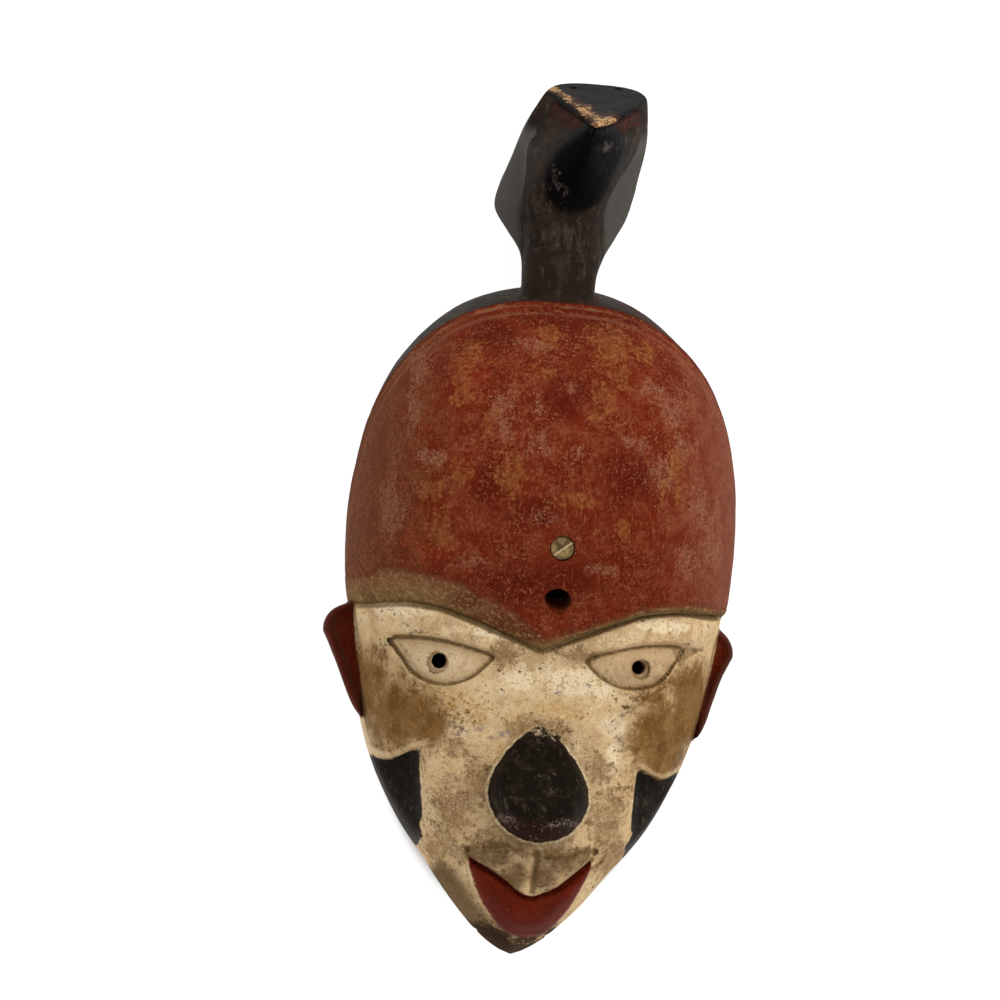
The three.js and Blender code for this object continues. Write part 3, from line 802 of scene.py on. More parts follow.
def settle(points, rounds=2, limit=0.6):
    """Walks points on to the surface."""
    for _ in range(rounds):
        g = slope(points)
        d = carving(*points.T)
        move = d[:, None] * g / np.maximum((g**2).sum(1), 0.2)[:, None]
        length = np.linalg.norm(move, axis=1, keepdims=True)
        points = points - move * np.minimum(1, limit / np.maximum(length, 1e-9))
    return points


def coordinates(mesh):
    """A mesh's points as rows of numbers."""
    flat = np.empty(len(mesh.vertices) * 3)
    mesh.vertices.foreach_get("co", flat)
    return flat.reshape(-1, 3)


points = settle(points)
raw_mesh = bpy.data.meshes.new("mask")
raw_mesh.from_pydata(points.tolist(), [], faces.tolist())
mask = bpy.data.objects.new("mask", raw_mesh)
bpy.context.scene.collection.objects.link(mask)
group = mask.vertex_groups.new(name="outside")
in_hollow = (hollow(*points.T) < SPARE_WALL) & (head(*points.T) < -4)
spare = in_hollow | (points[:, 2] < SPARE_RIM)
group.add(np.nonzero(~spare)[0].tolist(), FRONT_SHARE, "REPLACE")
group.add(np.nonzero(spare)[0].tolist(), 1.0, "REPLACE")
if 2 * len(faces) > TRIANGLES:
    thin = mask.modifiers.new("thin", "DECIMATE")
    thin.ratio = TRIANGLES / (2 * len(faces))
    thin.vertex_group, thin.vertex_group_factor = group.name, 1.0
seen = mask.evaluated_get(bpy.context.evaluated_depsgraph_get())
mesh = bpy.data.meshes.new_from_object(seen)
mask.modifiers.clear()
mask.vertex_groups.clear()
mask.data = mesh
points = settle(coordinates(mesh), rounds=1, limit=0.3)
mesh.vertices.foreach_set("co", to_metres(points).ravel())
mesh.update()
mesh.shade_smooth()
triangles = sum(len(p.vertices) - 2 for p in mesh.polygons)
print(f"after thinning: {len(mesh.vertices)} points and {triangles} triangles")

# %% [markdown]
# ## The hand of the carver, and wear
#
# An adze and a knife leave a surface that is never quite even, a gouge leaves rows of scallops
# behind, and sharp edges lose small chips. Sculpting this by hand would take hours, so each point
# is moved a little along its slope by smooth random bumps. These are seeded, so the mask is the
# same each time. The hollow's scallops come from the nearest of many scattered gouge strokes.

# %% Smooth random bumps
LATTICE = 32
CUBE = np.array([[i, j, k] for i in (0, 1) for j in (0, 1) for k in (0, 1)])


def lumps(points, size, seed):
    """Smooth random bumps between -1 and 1, about so many millimetres apart."""
    table = np.random.default_rng(seed).uniform(-1, 1, (LATTICE,) * 3)
    place = points / size
    cell = np.floor(place).astype(int)
    t = place - cell
    t = t * t * (3 - 2 * t)
    total = 0
    for corner in CUBE:
        weight = np.prod(np.where(corner, t, 1 - t), axis=1)
        total = total + weight * table[tuple(((cell + corner) % LATTICE).T)]
    return total


def scallops(points, size, seed):
    """0 in the middle of each gouge stroke, rising to 1 at the ridges between strokes."""
    table = np.random.default_rng(seed).uniform(0.1, 0.9, (LATTICE, LATTICE, LATTICE, 3))
    place = points / np.array(size)
    cell = np.floor(place).astype(int)
    nearest = np.full(len(points), 9.0)
    for step in np.ndindex(3, 3, 3):
        other = cell + np.array(step) - 1
        stroke = other + table[tuple((other % LATTICE).T)]
        nearest = np.minimum(nearest, ((place - stroke) ** 2).sum(1))
    return np.clip(nearest, 0, 1)


print(f"bumps 11 mm apart reach {np.abs(lumps(points, 11, 1)).max():.2f}")

# %% Tool marks and chips
HOLLOW_MARK, GOUGE_STROKE = 0.9, (11, 20, 11)
UNEVEN = [(26, 0.35), (11, 0.22), (4.5, 0.09)]
CHIP_DEEP, NEAR_EDGE, CHIN_UNSURE = 0.55, 1.6, (8, 18)


def edges_and_hollows(points, outward, reach):
    """How far each point stands on an edge, and how far it lies in a corner, from 0 to 1."""
    edge = 1 + carving(*(points - outward * reach).T) / reach
    corner = 1 - carving(*(points + outward * reach).T) / reach
    # The formula falls short around the tip of the chin, so nothing is read there.
    sure = ramp(*CHIN_UNSURE, points[:, 1])
    return np.clip(edge, 0, 1) * sure, np.clip(corner, 0, 1) * sure


outward = slope(points)
outward /= np.maximum(np.linalg.norm(outward, axis=1, keepdims=True), 1e-6)
behind = hollow(*points.T)
inner = ramp(1.5, 0.3, np.abs(behind)) * ramp(1.5, 4, points[:, 2]) * ramp(-3, -5, head(*points.T))
on_edge = edges_and_hollows(points, outward, NEAR_EDGE)[0]
moved = sum(deep * lumps(points, size, seed) for seed, (size, deep) in enumerate(UNEVEN))
moved -= CHIP_DEEP * ramp(0.28, 0.5, on_edge) * ramp(0.25, 0.6, lumps(points, 5, 7))
moved = moved * (1 - inner) - HOLLOW_MARK * inner * (1 - scallops(points, GOUGE_STROKE, 8))
worn = points + outward * moved[:, None]
low, high = ((np.array(v) - [MIDDLE, CHIN, 0]) / MM for v in (mask_low, mask_high))
worn = np.clip(worn, low, high)
mesh.vertices.foreach_set("co", to_metres(worn).ravel())
mesh.update()
print(f"tool marks move the surface by up to {np.abs(moved).max():.2f} mm")

# %% [markdown]
# ## Where each paint lies
#
# The paint follows the carving, so the formulas that shaped the mask can also say how far each
# point lies inside the red, the black or the lips. These distances are kept on the mesh as point
# attributes, in millimetres, above zero inside the paint and below it outside. The material breaks
# their edges up with noise, which keeps them sharp without any image. A point that can't belong to
# a zone, such as one at the back for the eyes, gets a number well outside it.

# %% Millimetres inside each painted zone
FAR_OUT, FAR_OFF = -20, 30
x, y, z = points.T
fx, fy = askew(x, y)
over_brow = -below(edge_table, fx, fy)
in_front = before_hairline(y, z)
roll = np.interp(fx, across_table, roll_tall_table)
outside_head, skull_down = head(x, y, z), -above_skull(y, z)
outside_cap = np.where(in_front > 0, forehead(x, y, z), outside_head)
parting_height = np.interp(fx, *((red_edge + lower_edge) / 2).T)
upper_lip_height = np.interp(fx, *freehand(UPPER_LIP).T)
off_middle = np.abs(x - np.interp(y - CREST_FOOT_Y, crest_heights, crest_columns[0]))
zones = {
    "red": over_brow - roll,
    "brow": over_brow,
    "rolled": over_brow / roll,
    "hair": np.minimum(3.4 * ramp(255, 284, y) - in_front, y - 138),
    "hairline": np.where(y > 165, in_front, FAR_OFF),
    "nose": 0.9 - nose(x, y, z) - 0.8 * ramp(90, 99, y),
    "sliced": np.where(y < 80, before_nose(y, z), FAR_OFF),
    "cheek": np.minimum(past_wall(x, y) + 1.5, np.maximum(-1.0 - outside_head, CHEEK_FLOOR + 1 - z)),
    "cheekbone": np.minimum(under_cheekbone(x, y), z - 5),
    "lips": np.where(z > 20, in_red_lip(fx, fy), FAR_OUT),
    "slit": np.where(z > 20, fy - parting_height, FAR_OFF),
    "upper_line": np.where(z > 30, -upper_lip_top(fx, fy), FAR_OUT),
    "philtrum": np.where((z > 30) & (y < 60), philtrum(fx, fy), FAR_OFF),
    "eye": np.where(z > 30, np.where(x < 0, in_left_eye(fx, fy), in_right_eye(fx, fy)), FAR_OUT),
    "corner": np.where(z > 30, in_outer_hollow(fx, fy), FAR_OUT),
    "ear": np.minimum(outside_head - 0.6, 0.8 - ears(x, y, z)),
    "crest": np.minimum(outside_cap - 1.0, 3.5 - crest(x, y, z)),
    "skull": np.where(y > 300, 1.6 - skull_down, FAR_OUT),
    "mouth": np.where(z > 36, np.minimum(skull_down - 2.2, 8.8 - skull_down), FAR_OUT),
    "throat": np.where((z > 44) & (y > 300), THROAT_HALF * (1.15 - throat(x, y - 1.8)), FAR_OUT),
    # The sides of the neck behind its front, where a grey painted sheen goes.
    "slab": np.minimum(off_middle - 17.5, 0.5 * (skull_down - 14)),
    "raw": np.maximum(np.minimum(2.2 - np.abs(behind), -4 - outside_head), 1.6 - z),
}
zones["slab"] = np.where((z < 34) & (y > 290), zones["slab"], FAR_OUT)
zones["upper_line"] *= np.where(fy < upper_lip_height, -1, 1)
zones["ear"] = np.where((np.abs(x) > 60) & (y < 160), zones["ear"], FAR_OUT)
zones["cheek"] = np.where((np.abs(x) > 38) & (y < 100) & (behind > 3), zones["cheek"], FAR_OUT)
zones["cheekbone"] = np.where((np.abs(x) > 44) & (y < 100), zones["cheekbone"], FAR_OUT)
print(f"{len(zones)} zones are measured on the mesh")

# %% [markdown]
# ## Scuffs, stains, wear and painted shade
#
# Age leaves marks that no formula gives: flakes where the ochre ground shows, dusty scuffs, cheeks
# browned by hands. Each is laid on as a soft oval that is 1 in its middle and dies away, and the
# noise in the material makes it ragged. Two long ones follow a line instead.
# Some marks are painted light: the muzzle, jaw and upper lip are partly painted shade, the deep red is partly
# painted shade, and the grey smears on the crest are painted highlights.

# %% Marks, each as sideways, height, half width and half height
MARKS = {
    "ochre": [
        [20.6, 264, 11, 12], [24.9, 251, 5, 9], [19, 240, 7, 8], [14.5, 233, 4, 4],
        [-38.2, 257, 5, 7], [-41.3, 249.5, 6, 7], [-42.3, 238, 5, 6], [-5.1, 267, 8, 5],
        [50.2, 215, 4.5, 9], [45.3, 205, 2, 6],
        [52, 203, 2, 6], [29.2, 186, 3.5, 6], [-6.3, 250, 5, 3], [-20, 205, 7, 10], [-48, 182, 6, 12],
        [-40, 205, 6, 6], [8, 196, 9, 4], [-30, 226, 4, 8], [-52, 196, 6, 6], [36, 262, 6, 5],
    ],
    "scuff": [
        [-24.2, 232, 7, 13], [-7.9, 219, 6, 6], [8.7, 217, 2, 3], [47.8, 238, 8, 8], [40.2, 245, 6, 6],
        [53.5, 224, 6, 6], [-61.8, 229.5, 4, 9], [4, 244, 2.5, 3], [-4.4, 188, 6, 3], [45.5, 210, 8, 9],
        [-34, 168, 7, 3], [59.3, 175, 6, 8], [-53.4, 211, 7, 5], [62, 200, 6, 9], [-68, 190, 6, 16],
        [-12, 262, 8, 4], [-10, 235, 2, 7], [33, 222, 7, 4], [22, 168, 9, 3], [70, 185, 6, 16],
        [-60, 250, 5, 8],
    ],
    "bright": [
        [-55.5, 222, 3, 3], [38.5, 256, 4, 3], [-50.7, 171, 10, 6], [-36, 246, 8, 11], [-60, 176, 5, 6],
    ],
    # Darker red, partly painted shade at the top and where the forehead turns down over the brow.
    "deep": [
        [-12, 158, 20, 9], [6, 163, 18, 10], [-7, 273, 18, 5], [28, 275, 10, 5], [2, 240, 12, 12],
        [30, 207, 14, 14], [-28, 200, 9, 12], [-30, 266, 14, 9], [-10, 190, 16, 8], [6, 274, 30, 9],
    ],
    "stain": [
        [-58, 101, 19, 17], [55, 98, 16, 22], [67, 116, 11, 18], [-72, 112, 10, 17], [58, 84, 12, 9],
        [-46, 96, 10, 9], [66, 104, 9, 12],
    ],
    "pale": [
        [14.9, 120.5, 16, 7], [34.1, 102, 7, 6], [25.9, 117.5, 7, 5], [-8, 119, 9, 5], [-60, 146, 15, 4],
        [50, 146, 16, 3.5], [-20, 139, 13, 4], [34, 90, 5, 8], [-42, 124, 15, 7],
    ],
    "fleck": [
        [-31.8, 95.6, 4.5, 3], [-15, 112, 1.8, 1.3], [8.2, 114.6, 1.6, 1.4], [36.7, 96.4, 2.2, 2],
        [-24, 98, 4, 1.8], [-13, 96, 4, 2.2], [21, 119, 1.4, 1.2], [23, 116, 1.2, 1.2], [33, 103, 2, 3],
        [-36, 99, 2, 2], [-19, 94, 2, 1.5],
    ],
    "golden": [[-37, 109, 12, 6], [-6.6, 100, 9, 6], [8, 107, 15, 5], [-12, 88, 7, 6], [-28, 104, 10, 5]],
    # The muzzle marks are painted shade, where the lower face and its sides turn from the light.
    "muzzle": [
        [-32, 64, 13, 22], [34, 62, 12, 20], [3, 47, 24, 4], [-60, 60, 9, 20], [60, 60, 9, 20],
        [0, 100, 16, 7],
        [14, 132, 10, 6], [-16, 130, 8, 7], [-34, 88, 8, 6], [-34, 46, 10, 12], [38, 44, 10, 12],
        [42, 124, 17, 8], [0, 52, 30, 8], [-24, 74, 8, 14], [28, 84, 6, 10],
    ],
    # Brown on the upper lip's swellings, partly from handling and partly painted shade.
    "upper": [
        [-15, 44, 11, 6], [16, 43, 11, 6], [-5, 36, 7, 8], [8, 37, 7, 7], [-22, 44, 7, 5], [23, 46, 6, 5],
    ],
    "chin": [[0, -4, 34, 18], [-14, 8, 9, 7], [17, 9, 6, 6]],
    "flake": [[3, 98, 5, 2.6], [-2, 95.5, 3, 2.4], [8, 95.5, 3, 2.4]],
    "reddened": [[-20, 144, 20, 7], [-8, 140, 14, 6], [-34, 151, 12, 5]],
    "bared": [[9, 356, 6.5, 5], [3, 363, 4, 4], [-3, 370, 2.5, 3], [-9, 375, 3.5, 2], [14, 359, 3, 2.5]],
    "knocked": [[-12, 60.5, 5, 2.6], [-15, 57, 3, 3], [15, 61, 6, 2], [9, 60, 4, 1.4]],
    # Grey painted highlights smeared over the glossy throat and neck.
    "smeared_highlights": [
        [-8, 327, 6, 7], [-6, 338, 3, 4], [13, 349, 4, 3], [2, 310, 12, 8], [10, 300, 5, 9], [-17, 350, 3, 7],
    ],
}
print(f"{sum(len(places) for places in MARKS.values())} ovals make {len(MARKS)} kinds of marks")

# %% The marks and the wear measured on the mesh
on_front = ramp(14, 24, z)
for name, places in MARKS.items():
    amount = np.zeros(len(points))
    for at_x, at_y, half_x, half_y in places:
        amount = np.maximum(amount, bump(np.hypot((x - at_x) / half_x, (y - at_y) / half_y), 1))
    zones[name] = amount * (1 if name == "chin" else on_front)
# The jaw on the left is browned along its outline, partly by handling and partly as painted shade.
JAW_LINE, JAW_HALF = [[-33, 33], [-28, 26], [-21, 18], [-14, 10], [-6, 4]], 6.5
zones["jaw"] = bump(line_distance(np.array(JAW_LINE), x, y, closed=False), JAW_HALF)
# The snout's left edge was knocked and rubbed down to the wood, more widely towards its tip.
KNOCKED_EDGE = [[-10.5, 376.6], [-3, 370.6], [3.5, 364.2], [9.6, 356.5], [14, 359.5]]
RUBBED_HALF, TIP_WIDER = 1.9, 2.2
from_edge = line_distance(np.array(KNOCKED_EDGE), x, y, closed=False)
rubbed = RUBBED_HALF + TIP_WIDER * ramp(-2, 9, x) - from_edge
zones["rubbed"] = np.where((skull_down < 2.2) & (y > 340), rubbed, FAR_OUT)
# Narrow corners are darkened by dirt and painted shade, and wide ones by painted shade, each felt for so many
# millimetres away.
DIRT_AND_SHADE_REACH, SHADE_REACH = 2.4, 7.0
zones["dirt"] = edges_and_hollows(points, outward, DIRT_AND_SHADE_REACH)[1]
zones["shade"] = edges_and_hollows(points, outward, SHADE_REACH)[1]
zones["edge"] = on_edge
zones["side"] = np.clip(-outward[:, 0], -1, 1)
zones["down"] = np.clip(-outward[:, 1], 0, 1)
for name, amounts in zones.items():
    mesh.attributes.new(name, "FLOAT", "POINT").data.foreach_set("value", np.clip(amounts, -30, 30))
print("point attributes:", ", ".join(zones))

# %% [markdown]
# ## The peg
#
# The peg is the stub of a turned or whittled dowel, snapped off in its hole. Its broken end is
# rough and has split across. It is a small mesh of rings, with the end's height from random bumps.

# %% The broken dowel
PEG_RADIUS, PEG_SUNK, RINGS, AROUND = 4.85, 1.3, 14, 48
SPLIT_TURN = math.radians(38)
peg_low, peg_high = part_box("forehead_peg")
angles = np.arange(AROUND) * 2 * math.pi / AROUND
inward = np.linspace(0.04, 1, RINGS)
end_x = HOLE_X + PEG_RADIUS * np.outer(inward, np.cos(angles)).ravel()
end_y = UPPER_HOLE_Y + PEG_RADIUS * np.outer(inward, np.sin(angles)).ravel()
end_z = np.full(len(end_x), 100.0)
for _ in range(8):
    end_z -= forehead(end_x, end_y, end_z)
end_z -= PEG_SUNK
end = np.column_stack([end_x, end_y, end_z])
across_split = (end_x - HOLE_X) * math.sin(SPLIT_TURN) - (end_y - UPPER_HOLE_Y) * math.cos(SPLIT_TURN)
ridge = 0.6 * bump(across_split - 0.4, 0.55) - 0.7 * bump(across_split + 0.8, 0.5)
end[:, 2] += ridge + 0.35 * lumps(end, 2.2, 21) + 0.2 * lumps(end, 0.9, 22) - 0.5 * ramp(1, 4, -across_split)
rim = end[-AROUND:]
foot_z = peg_low.z / MM + 0.4
wall = [np.column_stack([rim[:, :2], rim[:, 2] + (foot_z - rim[:, 2]) * t]) for t in np.linspace(0.1, 1, 8)]
peg_points = np.vstack([end, *wall, [[HOLE_X, UPPER_HOLE_Y, end_z[0]], [HOLE_X, UPPER_HOLE_Y, foot_z]]])
peg_points[:, 2] = np.minimum(peg_points[:, 2], peg_high.z / MM)
rows, top_point, foot_point = RINGS + len(wall), len(peg_points) - 2, len(peg_points) - 1
peg_faces = []
for n in range(AROUND):
    after = (n + 1) % AROUND
    peg_faces.append((top_point, n, after))
    peg_faces.append((foot_point, (rows - 1) * AROUND + after, (rows - 1) * AROUND + n))
    for row in range(rows - 1):
        here, there = row * AROUND, (row + 1) * AROUND
        peg_faces.append((here + n, there + n, there + after, here + after))
peg_mesh = bpy.data.meshes.new("broken_peg")
peg_mesh.from_pydata(to_metres(peg_points).tolist(), [], peg_faces)
peg_mesh.shade_smooth()
# The ridge along the split is marked for a painted highlight.
split_highlight = np.zeros(len(peg_points))
split_highlight[: len(end)] = bump(across_split - 0.4, 0.6)
peg_mesh.attributes.new("split_highlight", "FLOAT", "POINT").data.foreach_set("value", split_highlight)
peg = bpy.data.objects.new("broken_peg", peg_mesh)
bpy.context.scene.collection.objects.link(peg)
print(f"the peg's end is {end[:, 2].max() - end[:, 2].min():.1f} mm rough")

# %% [markdown]
# ## Mixing paint
#
# A material is a tree of nodes. One small helper adds a node, sets its options, and links or fills
# its inputs. The others are for painting. One turns a measure into an amount from 0 to 1, whose
# edge a texture breaks up, and another does so along a line. The last lays coats over each other,
# each where all the amounts given for it overlap. Every texture is noise in the mask's own space,
# with its size worked out from the millimetres that the real marks have.

# %% Helpers for painting
def colour(code):
    """An sRGB hex colour as Blender's linear one."""
    parts = [int(code[i : i + 2], 16) / 255 for i in (1, 3, 5)]
    return (*(c / 12.92 if c <= 0.04045 else ((c + 0.055) / 1.055) ** 2.4 for c in parts), 1)


def add(kind, inputs, output=0, **settings):
    """Adds a node with its settings and links, and returns one of its outputs."""
    made = tree.nodes.new(kind)
    for name, value in settings.items():
        setattr(made, name, value)
    for name, value in inputs.items():
        if isinstance(value, bpy.types.NodeSocket):
            tree.links.new(value, made.inputs[name])
        else:
            made.inputs[name].default_value = value
    return made.outputs[output]


def share(measure, low, high, texture=None, spread=0.0, most=1.0):
    """0 where a measure is under low and most over high, its edge broken up by a texture."""
    if texture is not None:
        broken = add("ShaderNodeMath", {0: texture, 1: spread, 2: -spread / 2}, operation="MULTIPLY_ADD")
        measure = add("ShaderNodeMath", {0: measure, 1: broken}, operation="ADD")
    limits = {"Value": measure, "From Min": low, "From Max": high, "To Max": most}
    return add("ShaderNodeMapRange", limits, interpolation_type="SMOOTHSTEP")


def line(measure, width, texture=None, spread=0.0, most=1.0):
    """A soft line where a measure passes zero, about so many millimetres to either side."""
    size = add("ShaderNodeMath", {0: measure}, operation="ABSOLUTE")
    return share(size, width, width * 0.3, texture, spread, most)


def coats(base, layers):
    """Lays coats of colour over a base, each as thick as its amounts say where they overlap."""
    for amounts, code in layers:
        amount, *others = amounts if isinstance(amounts, tuple) else (amounts,)
        for other in others:
            amount = add("ShaderNodeMath", {0: amount, 1: other}, operation="MULTIPLY")
        over = colour(code) if isinstance(code, str) else code
        under = colour(base) if isinstance(base, str) else base
        base = add("ShaderNodeMix", {0: amount, 6: under, 7: over}, output=2, data_type="RGBA")
    return base


print("cream in linear light is", [round(part, 2) for part in colour("#C8AA7E")[:3]])

# %% [markdown]
# ## Painted wood
#
# The face is whitened with kaolin clay in a weak glue, rubbed thin and browned by hands and smoke.
# The forehead, ears and lips are red earth pigment, the nose, hair and crest soot black with a
# little oil, so the black is the glossiest and the clay the most matt. All are brushed on bare
# wood, which shows at worn edges and inside. Each is a stack of coats here, over the same textures.

# %% The textures of the painted wood
painted = bpy.data.materials.new("kaolin_and_earth_paint_on_wood")
painted.use_nodes = True
tree = painted.node_tree
tree.nodes.remove(tree.nodes["Principled BSDF"])
spot = add("ShaderNodeTexCoord", {}, output=3)
# The size of the marks in millimetres, how fine they go, how rough they are, and their stretch.
# Real kaolin grit is under 0.1 mm and wouldn't show, so the finest here is 0.9 mm.
TEXTURES = {
    "patch": (11, 7, 0.68, (1, 1, 1)),
    "cloud": (14, 7, 0.68, (1, 0.7, 1)),
    "mottle": (4.2, 6, 0.72, (1, 1, 1)),
    "fray": (5, 6, 0.75, (1, 0.8, 1)),
    "speck": (1.7, 3, 0.65, (1, 1, 1)),
    "grit": (0.9, 2, 0.6, (1, 1, 1)),
    "drag": (2.6, 4, 0.65, (1, 0.2, 1)),
    "grain": (2.2, 4, 0.6, (1, 0.05, 1)),
    "scratch": (0.9, 3, 0.6, (1, 0.16, 0.3)),
}
texture = {}
for turn, (name, (size, detail, roughness, stretch)) in enumerate(TEXTURES.items(), 1):
    shift = {"Vector": spot, "Location": (0.31 * turn, 0.17 * turn, 0.23 * turn), "Scale": stretch}
    settings = {"Scale": 1 / (size * MM), "Detail": detail, "Roughness": roughness}
    texture[name] = add("ShaderNodeTexNoise", {"Vector": add("ShaderNodeMapping", shift), **settings})
measured = {name: add("ShaderNodeAttribute", {}, output=2, attribute_name=name) for name in zones}
print(f"{len(texture)} textures and {len(measured)} measures are ready")

# %% The edges of the zones, in millimetres
# Each is a measure, the texture that breaks its edge up, how far in mm, and how soft the edge is.
BORDERS = {
    "red": ("fray", 9.0, 2.0), "hair": ("fray", 4.0, 0.6), "nose": ("mottle", 2.4, 0.35),
    "cheek": ("fray", 6.0, 0.5), "lips": ("speck", 1.2, 0.35), "ear": ("speck", 0.8, 0.4),
    "crest": ("mottle", 2.0, 0.5), "skull": ("mottle", 1.6, 0.6), "mouth": ("fray", 3.0, 1.0),
    "throat": ("patch", 7.0, 1.6), "raw": ("mottle", 1.6, 0.5), "brow": ("mottle", 2.2, 0.6),
    "rubbed": ("drag", 9.0, 0.8),
}
inside = {}
for name, (by, spread, soft) in BORDERS.items():
    inside[name] = share(measured[name], -soft, soft, texture[by], spread)
# Marks grow ragged by three textures of different sizes laid together.
ragged = add("ShaderNodeMath", {0: texture["patch"], 1: 0.35, 2: 0.0}, operation="MULTIPLY_ADD")
ragged = add("ShaderNodeMath", {0: texture["mottle"], 1: 0.35, 2: ragged}, operation="MULTIPLY_ADD")
ragged = add("ShaderNodeMath", {0: texture["speck"], 1: 0.3, 2: ragged}, operation="MULTIPLY_ADD")
# Where an oval's edge starts, where it is full, and how ragged it is.
USUAL_EDGE = (0.3, 0.8, 4.5)
OTHER_EDGES = {
    "stain": (0.05, 0.75, 2.8), "jaw": (0.1, 0.9, 1.0), "chin": (0.2, 0.6, 3.0), "upper": (0.1, 0.85, 2.4),
}
mark = {}
for name in (*MARKS, "jaw"):
    start, full, spread = OTHER_EDGES.get(name, USUAL_EDGE)
    mark[name] = share(measured[name], start, full, ragged, spread)
# Darkening in corners: dirt with painted shade in the narrow ones, painted shade alone in the wide.
dirt = share(measured["dirt"], 0.2, 0.85, texture["mottle"], 0.7, most=0.5)
shade = share(measured["shade"], 0.1, 0.8, texture["patch"], 0.6, most=0.55)
print(f"{len(inside)} paints and {len(mark)} kinds of marks have their edges")

# %% [markdown]
# ### Whitened clay
#
# Kaolin is a cream that is never even: thick in brush strokes, rubbed through to the brown wood in
# a crowd of specks, golden where oil has soaked in, and brown on the cheeks, where it was handled.
# The upper lip and the jaw are browned partly by handling and partly as painted shade, and the
# muzzle and the sides of the face are darkened as painted shade. The coats go on from the widest
# to the finest, and the dirt and painted shade of the narrow corners come last.

# %% Kaolin
clay = coats("#C8AA7E", [
    (share(texture["patch"], 0.46, 0.62, most=0.8), "#DAC099"),
    (share(texture["cloud"], 0.47, 0.6, most=0.8), "#B08F66"),
    (share(texture["mottle"], 0.52, 0.66, most=0.6), "#E2CBA6"),
    (share(texture["mottle"], 0.47, 0.34, most=0.6), "#9B7A52"),
    ((mark["golden"], share(texture["speck"], 0.36, 0.62, most=0.8)), "#B88F50"),
    ((mark["pale"], share(texture["speck"], 0.34, 0.54)), "#E3CEA9"),
    # painted shade on the muzzle and the sides of the face
    ((mark["muzzle"], share(texture["cloud"], 0.26, 0.5, most=0.8)), "#8D6F4B"),
    ((mark["muzzle"], share(texture["mottle"], 0.46, 0.62, most=0.7)), "#745636"),
    ((share(texture["speck"], 0.55, 0.68), share(texture["patch"], 0.42, 0.6, most=0.85)), "#7A5B38"),
    (share(texture["grit"], 0.58, 0.7, most=0.45), "#E9D8BA"),
    (share(texture["speck"], 0.4, 0.3, most=0.5), "#8C6C46"),
    ((mark["fleck"], share(texture["speck"], 0.42, 0.56, most=0.65)), "#736866"),
    ((mark["stain"], share(texture["mottle"], 0.16, 0.44, most=0.9)), "#6E4A1E"),
    ((mark["stain"], share(texture["patch"], 0.42, 0.6, most=0.6)), "#573508"),
    ((mark["stain"], share(texture["speck"], 0.53, 0.68, most=0.5)), "#A07C48"),
    (share(measured["eye"], 0.8, 2.0, texture["mottle"], 0.8, most=0.55), "#BA9D79"),
    # the upper lip's swellings browned partly as painted shade; dirt and painted shade in its groove
    ((mark["upper"], share(texture["mottle"], 0.06, 0.54, most=0.85)), "#533A1D"),
    (line(measured["philtrum"], 2.0, texture["mottle"], 2.0, most=0.6), "#45301A"),
    # brown on the left jaw, partly handling and partly painted shade
    ((mark["jaw"], share(texture["fray"], 0.0, 0.4, most=0.85)), "#46300F"),
    ((mark["jaw"], share(texture["speck"], 0.54, 0.68, most=0.5)), "#7C6440"),
    ((mark["chin"], share(texture["fray"], 0.1, 0.3, most=0.95)), "#2C1705"),
    # painted shade in the wide hollows
    (shade, "#8A6A43"),
    (line(measured["eye"], 0.9, texture["mottle"], 1.8, most=0.5), "#6B5030"),
    # painted shade in the small hollow beside the right eye
    (share(measured["corner"], -0.6, 0.8, texture["speck"], 1.0, most=0.5), "#7E6040"),
    (line(measured["upper_line"], 1.3, texture["mottle"], 3.0, most=0.3), "#6B4B2A"),
    # dirt and painted shade just under the overhang of the brow
    (share(measured["brow"], -2.2, -0.4, texture["mottle"], 3.0, most=0.5), "#66522F"),
    (dirt, "#56401F"),
])
print(f"with the clay, the material has {len(tree.nodes)} nodes")

# %% [markdown]
# ### Red earth
#
# The forehead's red is an iron earth that has worn to the ground beneath it. It goes from a deep
# wine red where hands don't reach, darkened further as painted shade at the top and where it turns
# down over the brow, to a pinkish brown at the sides that is painted sheen, lighter on the right as
# painted light, with ochre showing where whole flakes have gone, and a fine crackle of lighter
# specks all over.

# %% Red earth on the forehead
other_side = add("ShaderNodeMath", {0: measured["side"], 1: -1.0}, operation="MULTIPLY")
